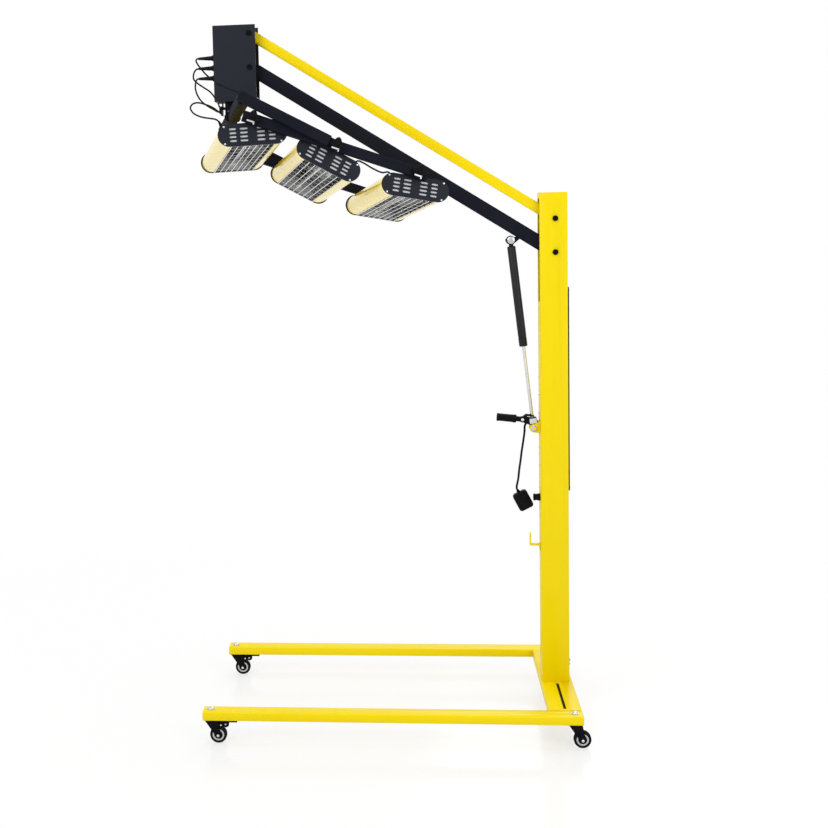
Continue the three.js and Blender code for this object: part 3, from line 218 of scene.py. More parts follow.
finishes = dict(
    yellow=coated("yellow powder coat", Look(
        colour=(0.85, 0.655, 0), shade=(0.83, 0.64, 0), patchScale=5, rough=(0.34, 0.42), peelScale=420,
        peel=0.04, specular=0.12, coat=0.05, coatRough=0.12,
    )),
    shell=coated("cassette yellow enamel", Look(
        colour=(0.9, 0.71, 0.03), shade=(0.87, 0.66, 0.02), patchScale=8, rough=(0.26, 0.34), peelScale=500,
        peel=0.08, coat=0.7, coatRough=0.08,
    )),
    black=coated("black powder coat", Look(
        colour=(0.009, 0.011, 0.019), shade=(0.011, 0.013, 0.022), patchScale=9, rough=(0.42, 0.55),
        peel=0.25, peelDepth=0.0004, specular=0.16,
    )),
    matt=coated("matt black powder coat", Look(
        colour=(0.007, 0.008, 0.014), shade=(0.009, 0.01, 0.017), patchScale=9, rough=(0.62, 0.74), peel=0.25,
        peelDepth=0.0004, specular=0.06,
    )),
    castor=coated("castor black", Look(
        colour=(0.004, 0.004, 0.005), shade=(0.008, 0.008, 0.009), patchScale=40, rough=(0.45, 0.6),
        specular=0.03,
    )),
    strut=coated("strut paint", Look(
        colour=(0.012, 0.012, 0.014), shade=(0.016, 0.016, 0.018), patchScale=12, rough=(0.34, 0.44),
        peelScale=600, peel=0.08, specular=0.14, coat=0.04, coatRough=0.15,
    )),
    moulded=coated("moulded black plastic", Look(
        colour=(0.004, 0.004, 0.005), shade=(0.007, 0.007, 0.008), patchScale=40, rough=(0.38, 0.55),
        peelScale=1500, specular=0.05,
    )),
    rubber=coated("cable rubber", Look(
        colour=(0.007, 0.007, 0.008), shade=(0.012, 0.012, 0.013), patchScale=60, rough=(0.5, 0.68),
        peelScale=1200, peel=0.15, specular=0.07,
    )),
    tread=coated("castor tread", Look(
        colour=(0.006, 0.006, 0.007), shade=(0.011, 0.011, 0.011), patchScale=55, rough=(0.5, 0.75), peel=0.3,
        peelDepth=0.0004, specular=0.03,
    )),
    hub=coated("castor hub", Look(
        colour=(0.55, 0.56, 0.58), shade=(0.45, 0.46, 0.48), patchScale=60, rough=(0.25, 0.4), peel=0.1,
        coat=0.2, coatRough=0.1,
    )),
    ceramic=coated("glazed ceramic", Look(
        colour=(0.78, 0.74, 0.66), shade=(0.68, 0.63, 0.54), patchScale=90, rough=(0.4, 0.6),
    )),
    sheet=coated("bright steel sheet", Look(
        colour=(0.66, 0.67, 0.69), shade=(0.56, 0.57, 0.59), patchScale=60, rough=(0.3, 0.45), peelScale=700,
        peel=0.1, specular=0.6, coat=0.2, coatRough=0.1,
    )),
    wire=coated("bright grille wire", Look(
        colour=(0.84, 0.84, 0.83), shade=(0.74, 0.74, 0.74), patchScale=90, rough=(0.2, 0.3), peel=0.05,
        peelDepth=0.0002, specular=0.8, coat=0.5, coatRough=0.08,
    )),
    print=coated("pale dial print", Look(
        colour=(0.75, 0.75, 0.73), shade=(0.7, 0.7, 0.68), patchScale=90, rough=(0.5, 0.6), peel=0.05,
        peelDepth=0.0002, specular=0.4,
    )),
    zinc=plainMetal("zinc plate", Look(
        colour=(0.62, 0.63, 0.64), shade=(0.5, 0.51, 0.53), patchScale=90, rough=(0.22, 0.36), grainScale=900,
        grain=0.1,
    )),
    rod=plainMetal("polished rod", Look(
        colour=(0.72, 0.72, 0.71), shade=(0.64, 0.64, 0.63), patchScale=30, rough=(0.24, 0.34),
        grainScale=1500, grain=0.05,
    )),
    quartz=quartzGlass(Look(
        colour=(0.95, 0.93, 0.9), shade=(0.9, 0.86, 0.8), patchScale=60, rough=0.08, passes=0.7, bend=1.46,
    )),
    # Reflector: its dark and bright colour cells are painted reflection, not the sheet's own colour.
    mirror=hammeredSheet(Look(
        dentScale=20, dentRange=(0.6, 0.67), dark=(0.004, 0.004, 0.007), bright=(0.92, 0.93, 0.97),
        rough=(0.05, 0.16), dent=0.9, dentDepth=0.004,
    )),
)
print("finishes made:", len(finishes))

# Shapes

# What is drawn collects here until makePiece turns it into one piece
drawing = []


def addFaces(points, faces, place=None):
    place = place or Matrix.Identity(4)
    drawing.append(([place @ Vector(p) for p in points], faces))


# A profile of (radius, height) turned about Z, and then stood up along another axis.
def addTurned(profile, axis="Z", sides=40, at=(0, 0, 0), place=None):
    stood = {"Z": Matrix.Identity(4), "X": turned("Y", 90), "Y": turned("X", -90)}[axis]
    place = (place or Matrix.Identity(4)) @ moved(*at) @ stood
    points, rings = [], []
    for radius, height in profile:
        if radius < 1e-6:
            rings.append([len(points)])
            points.append((0, 0, height))
            continue
        rings.append(list(range(len(points), len(points) + sides)))
        for k in range(sides):
            angle = 2 * pi * k / sides
            points.append((radius * cos(angle), radius * sin(angle), height))
    faces = []
    for low, high in zip(rings, rings[1:]):
        if len(low) == 1 and len(high) == 1:
            continue
        for k in range(sides):
            n = (k + 1) % sides
            if len(low) == 1:
                faces.append((low[0], high[n], high[k]))
            elif len(high) == 1:
                faces.append((low[k], low[n], high[0]))
            else:
                faces.append((low[k], low[n], high[n], high[k]))
    for ring, end in ((rings[0], True), (rings[-1], False)):
        if len(ring) > 1:
            faces.append(tuple(reversed(ring)) if end else tuple(ring))
    addFaces(points, faces, place)


def addRound(axis, radius, start, end, sides=32, at=(0, 0, 0), lip=0.0):
    lip = min(lip, radius / 2, (end - start) / 2)
    profile = [(radius, start), (radius, end)]
    if lip:
        profile = [(radius - lip, start), (radius, start + lip), (radius, end - lip), (radius - lip, end)]
    addTurned(profile, axis, sides, at)


def addBlock(low, high, place=None):
    (x0, y0, z0), (x1, y1, z1) = low, high
    points = [(x, y, z) for x in (x0, x1) for y in (y0, y1) for z in (z0, z1)]
    faces = [(0, 1, 3, 2), (4, 6, 7, 5), (0, 4, 5, 1), (2, 3, 7, 6), (0, 2, 6, 4), (1, 5, 7, 3)]
    addFaces(points, faces, place)


# Rings of points one after the other, joined by walls and closed at both ends.
def addRings(points, sides):
    last = len(points) - sides
    faces = [range(sides), range(last, last + sides)]
    for k in range(0, last, sides):
        for i in range(sides):
            n = (i + 1) % sides
            faces.append((k + i, k + n, k + sides + n, k + sides + i))
    addFaces(points, faces)


# A closed outline in X and Z, thickened along Y.
def addSlab(outline, y0, y1):
    addRings([(x, y, z) for y in (y0, y1) for x, z in outline], len(outline))


def addWire(points, radius, sides):
    points = [Vector(p) for p in points]
    ends = [points[0], *points, points[-1]]
    rings = []
    for before, point, after in zip(ends, points, ends[2:]):
        along = (after - before).normalized()
        across = along.cross(Vector((0, 0, 1))).normalized()
        up = across.cross(along)
        rings += [point + (across * cos(a) + up * sin(a)) * radius
                  for a in (2 * pi * i / sides for i in range(sides))]
    addRings(rings, sides)


def arcPoints(centre, radius, start, end, steps):
    x, z = centre
    angles = [radians(start + (end - start) * k / steps) for k in range(steps + 1)]
    return [(x + radius * cos(a), z + radius * sin(a)) for a in angles]


# A circle whose radius varies with the angle.
def wavyRing(radius, wave, waves, steps=72):
    ring = []
    for k in range(steps):
        a = 2 * pi * k / steps
        r = radius + wave * cos(waves * a)
        ring.append((r * cos(a), r * sin(a)))
    return ring


edgeLook = Look(segments=2, edgeAngle=32, weld=0.00002, flatAngle=1)


def roundEdges(piece, width):
    edge = piece.modifiers.new("rounded edges", "BEVEL")
    edge.width, edge.segments = width / 1000, edgeLook.segments
    edge.limit_method, edge.angle_limit = "ANGLE", radians(edgeLook.edgeAngle)
    edge.harden_normals = True


def addPiece(name, data, body, finish, replaced, bevel=0.0):
    piece = addObject(name, data)
    data.materials.append(finishes[finish])
    if bevel:
        roundEdges(piece, bevel)
    if body:
        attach(piece, body)
    if replaced:
        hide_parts(*replaced.split())
    return piece


def makePiece(name, place, body, finish, replaced="", bevel=0.0, sharp=38, welded=False):
    bm = bmesh.new()
    for points, faces in drawing:
        made = [bm.verts.new(p) for p in points]
        for face in faces:
            bm.faces.new([made[i] for i in face])
    drawing.clear()
    if welded:
        bmesh.ops.remove_doubles(bm, verts=bm.verts, dist=0.001)
    bmesh.ops.recalc_face_normals(bm, faces=bm.faces)
    mesh = bpy.data.meshes.new(name)
    bm.to_mesh(mesh)
    bm.free()
    mesh.transform(toMetres @ place)
    for polygon in mesh.polygons:
        polygon.use_smooth = True
    if not bevel:
        mesh.set_sharp_from_angle(angle=radians(sharp))
    return addPiece(name, mesh, body, finish, replaced, bevel)


def addSpline(curve, points):
    spline = curve.splines.new("POLY")
    spline.points.add(len(points) - 1)
    for point, where in zip(spline.points, points):
        point.co = (*where, 1)
    return spline


def curvePiece(name, points, diameter, body, finish, replaced):
    curve = bpy.data.curves.new(name, "CURVE")
    curve.dimensions, curve.resolution_u = "3D", 1
    curve.bevel_depth, curve.bevel_resolution = diameter / 2, 5
    curve.use_fill_caps = True
    addSpline(curve, points).use_smooth = True
    return addPiece(name, curve, body, finish, replaced)


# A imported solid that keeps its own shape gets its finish, merged faces and slightly rounded edges.
def finishNode(name, finish, bevel=0.8, smooth=True, ends=None):
    node = nodes[name]
    mesh = node.data
    mesh.materials.clear()
    mesh.materials.append(finishes[finish])
    for polygon in mesh.polygons:
        polygon.use_smooth = smooth
        polygon.material_index = 0
    if ends:
        endFinish, half = ends
        mesh.materials.append(finishes[endFinish])
        centre = (stand @ Vector((0, middleY, 0))).y
        for polygon in mesh.polygons:
            across = (node.matrix_world @ polygon.center).y * 1000 - centre
            polygon.material_index = int(abs(across) > half)
    weld = node.modifiers.new("joined corners", "WELD")
    weld.merge_threshold = edgeLook.weld
    flat = node.modifiers.new("whole faces", "DECIMATE")
    flat.decimate_type, flat.delimit = "DISSOLVE", {"MATERIAL"}
    flat.angle_limit = radians(edgeLook.flatAngle)
    roundEdges(node, bevel)


def mixed(first, second, start, end, t):
    return first.lerp(second, (t - start) / (end - start))


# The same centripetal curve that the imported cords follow.
def smoothRoute(points, spacing):
    points = [Vector(p) for p in points]
    points = [2 * points[0] - points[1], *points, 2 * points[-1] - points[-2]]
    route = []
    for a, b, c, d in zip(points, points[1:], points[2:], points[3:]):
        pairs = ((a, b), (b, c), (c, d))
        knots = [0.0]
        for p, q in pairs:
            knots.append(knots[-1] + max((q - p).length, 1e-6) ** 0.5)
        steps = max(1, round((c - b).length / spacing))
        for k in range(steps):
            t = knots[1] + (knots[2] - knots[1]) * k / steps
            first = [mixed(p, q, knots[i], knots[i + 1], t) for i, (p, q) in enumerate(pairs)]
            second = [mixed(first[i], first[i + 1], knots[i], knots[i + 2], t) for i in (0, 1)]
            route.append(mixed(second[0], second[1], knots[1], knots[2], t))
    route.append(points[-2])
    return route


def inMetres(points, place):
    return [toMetres @ (place @ p) for p in points]


# Cords

mainsLook = Look(
    diameter=6.6, innerRadius=26.6, pitch=7.1, lift=7.1, firstTurn=1.75, turns=7.5, climb=0.5, coilY=440,
    coilZ=104, glandX=1027, glandZ=112, glandEnd=400.6, exitSteps=14, turnSteps=64, spacing=4,
)
mainsRise = [
    (1105, 432.9, 125.3), (1105, 428, 125.5), (1102, 418, 128.5), (1094, 407, 137), (1082, 392, 160),
    (1067, 380, 200), (1055, 376.5, 260), (1044.2, 375.4, 560), (1035.3, 375.4, 800), (1033.5, 375.4, 840),
    (1030, 375.4, 865), (1020, 375.4, 886), (1003, 374, 897), (988, 370, 900), (976, 364, 896),
    (968, 359, 886), (966, 355, 866), (962, 353, 838), (957, 352, 807), (953, 352, 776), (949, 352, 749),
    (946, 352, 722), (943, 352, 707), (941, 352, 697), (941.3, 352, 690.3), (943.3, 352, 686.4),
]


# The coil winds outwards and inwards by turns, and climbs one layer at each change.
def coilPoint(look, turn):
    first, climb, inner = look.firstTurn, look.climb, look.innerRadius
    radius = inner + look.pitch * (2 - abs((turn - first) % 4 - 2))
    climbed = sum(min(max((turn - first - 2 * i + climb / 2) / climb, 0), 1) for i in range(3))
    angle = pi - 2 * pi * turn
    centreX = look.glandX + inner + look.pitch * first
    return Vector((centreX + radius * cos(angle), look.coilY + radius * sin(angle),
                   look.coilZ + look.lift * climbed))


def coilRoute(look):
    steps, turns = look.exitSteps, look.turns
    start = coilPoint(look, 0)
    route = []
    for k in range(steps):
        back = 1 - k / steps
        rise = (look.glandZ - look.coilZ) * back * back * (3 - 2 * back)
        route.append(start + Vector((0, -back * (look.coilY - look.glandEnd), rise)))
    count = round(turns * look.turnSteps)
    return route + [coilPoint(look, turns * k / count) for k in range(count + 1)]


mainsRoute = inMetres(coilRoute(mainsLook) + smoothRoute(mainsRise, mainsLook.spacing)[1:], stand)
mainsCord = curvePiece("mainsLead", mainsRoute, mainsLook.diameter / 1000, "base", "rubber",
                       "mains_coil mains_cord")

plugLook = Look(
    place=(959.9, 352, 654.3), tilt=-27.3, width=46, length=57, depth=24, corner=9, edge=3.5, boot=5.5,
    bootLength=7, ribs=4, ribPitch=2.2, ribDepth=0.9, line=(11, 11), linePin=(3.15, 2), earth=-11,
    earthPin=(2, 4), pinRoot=6, pinReach=20,
)


def buildPlug(look):
    place = stand @ moved(*look.place) @ turned("Y", look.tilt)
    corner, end, front = look.corner, look.length / 2, look.depth / 2
    halfW, halfL = look.width / 2 - corner, end - corner
    outline = []
    for sx, sz, start in ((1, -1, -90), (1, 1, 0), (-1, 1, 90), (-1, -1, 180)):
        outline += arcPoints((sx * halfW, sz * halfL), corner, start, start + 90, 6)
    addSlab(outline, -front, front)
    body = makePiece("plugBody", place, "base", "moulded", "mains_plug", bevel=look.edge)
    boot, tip = look.boot, end + look.bootLength
    groove = boot - look.ribDepth
    profile = [(boot, end - 1)]
    for k in range(look.ribs):
        z = end + 1 + k * look.ribPitch
        profile += [(boot, z), (groove, z + 0.5), (groove, z + 1.3), (boot, z + 1.8)]
    profile.append((boot - 1.5, tip))
    addTurned([p for p in profile if p[1] <= tip], sides=28)
    sleeve = makePiece("plugSleeve", place, "base", "moulded")
    root, reach = front - look.pinRoot, front + look.pinReach
    lineX, lineZ = look.line
    spots = ((-lineX, lineZ, *look.linePin), (lineX, lineZ, *look.linePin), (0, look.earth, *look.earthPin))
    for x, z, halfX, halfZ in spots:
        addBlock((x - halfX, root, z - halfZ), (x + halfX, reach, z + halfZ))
    pins = makePiece("plugPins", place, "base", "zinc", bevel=0.6)
    return [body, sleeve, pins]


plugPieces = buildPlug(plugLook)

glandLook = Look(place=(1027, 370.3, 112), base=9, baseLength=8, root=7, tip=5, length=30, ribs=5)


def ribbedProfile(look):
    base, foot, length, ribs = look.base, look.baseLength, look.length, look.ribs
    profile = [(0, 0), (base - 0.6, 0), (base, 0.6), (base, foot - 0.6), (base - 0.6, foot)]
    span = (length - foot) / ribs
    for k in range(ribs):
        z = foot + k * span
        radius = look.root + (look.tip - look.root) * (k / ribs)
        profile += [(radius, z + 0.3), (radius, z + span * 0.55), (radius * 0.84, z + span * 0.65),
                    (radius * 0.84, z + span * 0.95)]
    return [*profile, (look.tip * 0.9, length), (0, length)]


addTurned(ribbedProfile(glandLook), "Y", 32)
makePiece("mainsStrainRelief", stand @ moved(*glandLook.place), "base", "moulded", "mains_gland")

cableLook = Look(diameter=5, sides=14, spacing=3, boxLeft=50, boots=(2022, 1992, 1962))
cableRoutes = [
    [(-2.6, 333, 2022), (-6, 333, 2021.6), (-9, 334.5, 2017), (-5, 338, 2006), (4, 342, 1994),
     (15, 350, 1979), (25, 362, 1969), (36, 378, 1961), (46, 388, 1945), (56, 392, 1915), (62, 384, 1888),
     (64, 372, 1876), (60, 362, 1872)],
    [(-2.6, 333, 1992), (-6.5, 333, 1991.3), (-13, 333.5, 1986), (-18, 336, 1976), (-19, 340, 1963),
     (-12, 348, 1953), (8, 362, 1938), (26, 378, 1925), (38, 386, 1908), (48, 385, 1890), (56, 364, 1874),
     (61, 350, 1867)],
    [(-2.6, 333, 1962), (-6, 333, 1961.4), (-10.5, 333, 1956), (-13, 333, 1945), (-13, 333, 1931),
     (-8, 333, 1914), (4, 333, 1895), (22, 334, 1880), (40, 337, 1869), (52, 338, 1862), (63, 338, 1859)],
]
leadRoute = [
    (63.7, 322, 1860), (58, 321.5, 1860.5), (52, 317, 1865), (46, 309, 1870), (34, 300, 1877),
    (20, 290, 1882), (13, 270, 1884), (2, 245, 1884), (-7, 220, 1878), (-10, 200, 1866), (0, 180, 1851),
    (20, 155, 1839), (42, 132, 1832), (62, 115, 1828), (78, 104, 1824), (88, 100, 1817),
]


# A cable between two bodies, as a mesh left in world place and attached to neither.
def hangLead(name, points, place, replaced=""):
    addWire(points, cableLook.diameter / 2, cableLook.sides)
    piece = makePiece(name, place, None, "rubber", replaced)
    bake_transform(piece)


for i, points in enumerate(cableRoutes):
    route = inMetres(smoothRoute(points, cableLook.spacing), stand)
    piece = curvePiece(f"lampCable{i + 1}", route, cableLook.diameter / 1000, "control_box", "rubber",
                       "lamp_cables")
hangLead("cassetteLead", smoothRoute(leadRoute, cableLook.spacing), stand,
         "lamp_leads")

# Lead from the second cassette to the third, in two halves that meet at the cross beam's middle
linkLook = Look(
    meetX=125,
    points=[(68.9, -258, -26), (78, -258, -16), (95, -259, -17), (125, -260, -24), (155, -261, -27),
            (172, -260, -20), (182, -258, -25)],
)
points = smoothRoute(linkLook.points, cableLook.spacing)
meet = min(range(len(points)), key=lambda k: abs(points[k][0] - linkLook.meetX))
hangLead("cassetteLink1", points[:meet + 1], headBeams)
hangLead("cassetteLink2", points[meet:], headBeams)

leadBootLook = Look(seat=(-79, -222, -17), lean=-17.5, base=7, root=5.4, tip=3.4, length=25)


def buildLeadBoot(look):
    place = lampPlaces[0] @ moved(*look.seat) @ turned("Y", look.lean)
    addTurned([(0, 0), (look.base, 0), (look.base, 2), (look.root, 3),
               (look.tip, look.length), (0, look.length)], sides=28)
    makePiece("leadBoot", place, "lamp_1", "moulded")


buildLeadBoot(leadBootLook)

tieLook = Look(low=(58, 330, 1855), high=(63.7, 368, 1876))
addBlock(tieLook.low, tieLook.high)
makePiece("cableTieBlock", stand, "control_box", "moulded", bevel=1)

bootLook = Look(base=9.1, baseLength=9, root=7.2, tip=3.8, length=52.2, ribs=8)
for i, z in enumerate(cableLook.boots):
    addTurned(ribbedProfile(bootLook), "X", 28)
    place = stand @ moved(cableLook.boxLeft, middleY, z) @ turned("Z", 180)
    makePiece(f"cableBoot{i + 1}", place, "control_box", "moulded")
print("cords laid")

# Base and castors

for name in ("leg_near", "leg_far", "cross_channel", "column", "strut_bracket", "cord_hook"):
    finishNode(name, "yellow", 1.0)
finishNode("rear_cover", "black")

# Black strips inside the cross channel under its slots: painted shade standing in for the shadow inside the
# channel.
slotShadowLook = Look(x=(1046, 1061), y=((62, 290), (376, 604)), z=(94.6, 96.6))
(x0, x1), (z0, z1) = slotShadowLook.x, slotShadowLook.z
for y0, y1 in slotShadowLook.y:
    addBlock((x0, y0, z0), (x1, y1, z1))
makePiece("slotShadowStrips", stand, "base", "moulded")

castorLook = Look(
    radius=25, half=9, corner=3.5, tyreInner=17.5, ringOuter=17.3, ringInner=12.5, bore=4.6, dish=3.2,
    cap=4.6, capSeat=17.2, trail=21,
    stems=Look(front_near=(22, 28), front_far=(22, 638), rear_near=(1077, 28), rear_far=(1077, 638)),
)


# Half a wheel's profile, mirrored to the other side and closed.
def addWheelRing(profile, sides):
    profile = profile + [(r, -h) for r, h in reversed(profile)]
    addTurned([*profile, profile[0]], "Y", sides)


def buildWheel(look, name, stem):
    place = stand @ moved(stem[0] + look.trail, stem[1], look.radius)
    wheel, half, corner, cap = f"wheel_{name}", look.half, look.corner, look.cap
    rim = look.radius - corner
    profile = [(look.tyreInner, -half + 1.2), (rim, -half)]
    profile += [(rim + corner * sin(a), -half + corner - corner * cos(a))
                for a in (radians(d) for d in (22, 45, 67, 90))]
    addWheelRing(profile, 64)
    makePiece(f"castorTyre_{name}", place, wheel, "tread", f"castor_wheel_{name}", sharp=50, welded=True)
    ring, hole, dish, bore = look.ringOuter, look.ringInner, look.dish, look.bore
    addWheelRing([(bore, -half + dish), (hole - 1, -half + dish), (hole, -half + 0.9),
                  (hole + 0.6, -half + 0.4), (ring - 0.6, -half + 0.4), (ring, -half + 1)], 56)
    makePiece(f"castorHub_{name}", place, wheel, "hub", sharp=30, welded=True)
    for side in (-1, 1):
        profile = [(bore, 0), (hole - 1.2, 0), (hole - 1.2, side * 0.5), (bore, side * 0.5)]
        addTurned(profile, "Y", at=(0, side * (half - dish), 0))
    makePiece(f"castorDish_{name}", place, wheel, "moulded", sharp=30)
    for side in (-1, 1):
        y = side * look.capSeat
        addTurned([(0, y + side * 2), (cap - 1.4, y + side * 1.7), (cap, y), (cap, y - side)], "Y", 28)
    makePiece(f"axleCap_{name}", place, f"fork_{name}", "zinc", sharp=50)


for name, stem in castorLook.stems.items():
    finishNode(f"castor_fork_{name}", "castor", 0.5)
    buildWheel(castorLook, name, stem)

pedalLook = Look(
    plate=((24, -12, 64), (78, 12, 69)), rivetRadius=2.8,
    rivets=(("pedal", 43, 57, 9), ("fork", 30, 56, 13.4)),
)
for name in ("front_near", "front_far"):
    finishNode(f"brake_pedal_{name}", "castor", 0.7)
    place = stand @ moved(*castorLook.stems[name], 0)
    addBlock(*pedalLook.plate)
    makePiece(f"pedalPlate_{name}", place, f"pedal_{name}", "castor", bevel=0.8)
    for part, x, z, half in pedalLook.rivets:
        addRound("Y", pedalLook.rivetRadius, -half, half, 24, (x, 0, z), 0.5)
        makePiece(f"{part}Rivet_{name}", place, f"{part}_{name}", "zinc", sharp=40)

boltLook = Look(radius=9.2, height=5.2, washer=11, washerHeight=1.2, top=100.3)


def buildStemBolt(look, name, x, y):
    r, h, washer, seat = look.radius, look.height, look.washer, look.washerHeight
    dome = [(r * cos(radians(a)), seat + h * sin(radians(a))) for a in range(0, 90, 15)]
    addTurned([(0, 0), (washer, 0), (washer, seat), (r, seat), *dome, (0, seat + h)], sides=36)
    makePiece(f"castorBolt_{name}", stand @ moved(x, y, look.top), f"fork_{name}", "zinc", sharp=40)


for name, stem in castorLook.stems.items():
    buildStemBolt(boltLook, name, *stem)
print("base and castors done")

# Column fittings

studLook = Look(heights=(769, 823, 931, 985, 1039), radius=4.3, height=3.7, face=1010)
for z in studLook.heights:
    r, h = studLook.radius, studLook.height
    addTurned([(r, 0), (r, h * 0.6), (r * 0.75, h * 0.95), (0, h)], "X", 24,
              place=moved(studLook.face, middleY, z) @ turned("Z", 180))
makePiece("heightStuds", stand, "base", "zinc", sharp=40)

pegLook = Look(face=1009.7, z=668, radius=11, neck=9.8, length=20.5, neckStart=4, neckEnd=11)


def buildPeg(look):
    r, n, near, far, length = look.radius, look.neck, look.neckStart, look.neckEnd, look.length
    addTurned([(0, 0), (r - 3, 0), (r - 1, 0.7), (r, 2.4), (r, near), (n + 0.5, near + 1.4),
               (n, near + 2), (n, far), (r - 0.5, far + 1.6), (r, far + 2.2), (r, length), (0, length)], "X")
    makePiece("cordPeg", stand @ moved(look.face - length, middleY, look.z), "base", "moulded",
              "cord_peg", sharp=35)


buildPeg(pegLook)

clipLook = Look(
    places=((1044.2, 560), (1035.3, 800)), width=7, wall=1.4, cordY=375.4, foot=6, footY=(370.2, 371.6),
)


def buildClips(look):
    wall, half, (low, high) = look.wall, look.width / 2, look.footY
    outer = mainsLook.diameter / 2 + wall
    for x, z in look.places:
        ring = arcPoints((x, look.cordY), outer, 0, 180, 16)
        inner = arcPoints((x, look.cordY), outer - wall, 180, 0, 16)
        right, left = x + outer, x - outer
        outline = [(right + look.foot, low), (right + look.foot, high), (right, high), *ring,
                   (left, low), (left + wall, low), *inner, (right - wall, low)]
        addRings([(px, py, z + dz) for dz in (-half, half) for px, py in outline], len(outline))
    makePiece("cordClips", stand, "base", "moulded", sharp=30)


buildClips(clipLook)

stubLook = Look(place=(991, 882), radius=9.4, half=16, height=4.4)
r = stubLook.radius
for side in (-1, 1):
    y, h = side * stubLook.half, side * stubLook.height
    addTurned([(r, y), (r, y + h * 0.6), (r * 0.8, y + h), (r * 0.45, y + h), (r * 0.4, y + h * 0.5),
               (0, y + h * 0.5)], "Y", 30)
x, z = stubLook.place
makePiece("bracketBolts", stand @ moved(x, middleY, z), "base", "zinc", sharp=35)
print("column fittings done")

# Arms and strut

finishNode("lower_arm", "matt", 0.9)
finishNode("upper_link", "yellow", 0.9, ends=("moulded", 16))

pivotLook = Look(
    radius=8.3, height=4.2, socket=4, depth=2.2, thread=4.6, nut=8.6, spots=((0, 37.3), (-1065, 45.3)),
)


def buildPivotBolts(look, name, place, body):
    r, h, socket = look.radius, look.height, look.socket
    floor, thread, nut = h - look.depth, look.thread, look.nut
    for x, reach in look.spots:
        addTurned([(r, 0), (r, h * 0.75), (r - 0.9, h), (socket, h), (socket, floor), (0, floor)], "Y",
                  sides=32, place=moved(x, -reach, 0) @ turned("X", 180))
        far = moved(x, reach, 0)
        addTurned([(thread, 0), (thread, 7.4), (0, 7.8)], "Y", 24, place=far)
        addTurned([(nut, 0), (nut, 5.4), (nut - 1, 6.2), (5, 6.2)], "Y", 6, place=far)
    makePiece(name, place, body, "moulded", sharp=32)


buildPivotBolts(pivotLook, "lowerArmBolts", lift, "lower_arm")
buildPivotBolts(pivotLook, "upperLinkBolts", linkSwing, "upper_link")

strutLook = Look(
    foot=(991, 882), lug=(129, 37.5), radius=12.5, start=19, end=323, ringAt=292, ringWidth=3, neck=7, eye=13,
    eyeWidth=14, pin=18.5, disc=11, cheek=23.3, rod=5, block=(543, 561), blockRadius=9.4, footRod=4.9,
    footEye=8.5, footBore=5.4, footHalf=7, clampBlock=((-9.5, -13.2, 14), (12.2, 13.2, 30)),
)
rise = radians(armRise)
(along, below), (footX, footZ) = strutLook.lug, strutLook.foot
eyeX = armX - along * cos(rise) - below * sin(rise)
eyeZ = armZ + along * sin(rise) - below * cos(rise)
strutLean = degrees(atan2(eyeX - footX, eyeZ - footZ))
strutLength = hypot(eyeX - footX, eyeZ - footZ)
strutPlace = stand @ moved(eyeX, middleY, eyeZ) @ turned("Y", strutLean)


def buildStrut(look):
    r, top, end, neck, rod = look.radius, look.start, look.end, look.neck, look.rod
    groove, half = look.ringAt, look.eyeWidth / 2
    low = groove + look.ringWidth
    addTurned([(0, -end + 5), (rod + 0.4, -end + 5), (rod + 0.4, -end), (r - 2.5, -end),
               (r - 0.8, -end + 0.8), (r, -end + 2.4), (r, -low), (r - 0.8, -low + 0.4),
               (r - 0.8, -groove - 0.4), (r, -groove), (r, -top - 2.4), (r - 0.8, -top - 0.8),
               (r - 2.5, -top), (neck, -top), (neck, 0), (0, 0)], sides=48)
    addRound("Y", look.eye, -half, half, 40, lip=0.8)
    addRound("Y", neck, -look.pin, look.pin, 28)
    makePiece("strutCylinder", strutPlace, "strut_cylinder", "strut", "strut_cylinder", sharp=35)
    disc, cheek = look.disc, look.cheek
    addTurned([(5, -cheek), (disc - 0.8, -cheek), (disc, -cheek - 0.8), (disc, -cheek - 1.6),
               (disc - 1, -cheek - 2.2), (9, -cheek - 2.2), (9, -cheek - 3.4), (8, -cheek - 4),
               (4, -cheek - 4), (4, -cheek - 2.4), (0, -cheek - 2.4)], "Y")
    addRound("Y", 5, -cheek, cheek + 6.5, 28)
    addRound("Y", 8.5, cheek, cheek + 6, 6, lip=0.6)
    makePiece("strutTopBolt", strutPlace, "strut_cylinder", "zinc", sharp=32)
    near, far = look.block
    addRound("Z", rod, -near - 1, -end + 1)
    makePiece("strutRod", strutPlace, "strut_rod", "rod", "strut_rod", sharp=35)
    addRound("Z", look.blockRadius, -far, -near, 36, lip=0.8)
    addRound("Z", look.footRod, -strutLength + 4, -far + 1, 28)
    half, eye, bore = look.footHalf, look.footEye, look.footBore
    profile = [(bore, -half), (eye - 0.6, -half), (eye, -half + 0.6), (eye, half - 0.6), (eye - 0.6, half),
               (bore, half), (bore, -half)]
    addTurned(profile, "Y", 36, (0, 0, -strutLength))
    makePiece("strutFootEye", strutPlace, "strut_rod", "zinc", sharp=32)
    addBlock(*look.clampBlock, moved(0, 0, -strutLength))
    makePiece("clampBlock", strutPlace, "strut_rod", "sheet", bevel=0.8)


buildStrut(strutLook)
finishNode("release_clamp", "moulded")

gripLook = Look(
    place=(958, 908), tilt=6.3, radius=12.5, start=18, end=77, collar=8, boss=9, bossHalf=9.4,
    tongue=(13, 33, 12, 17), tongueGap=5.6, pin=4.6, pinHalf=14.4,
)


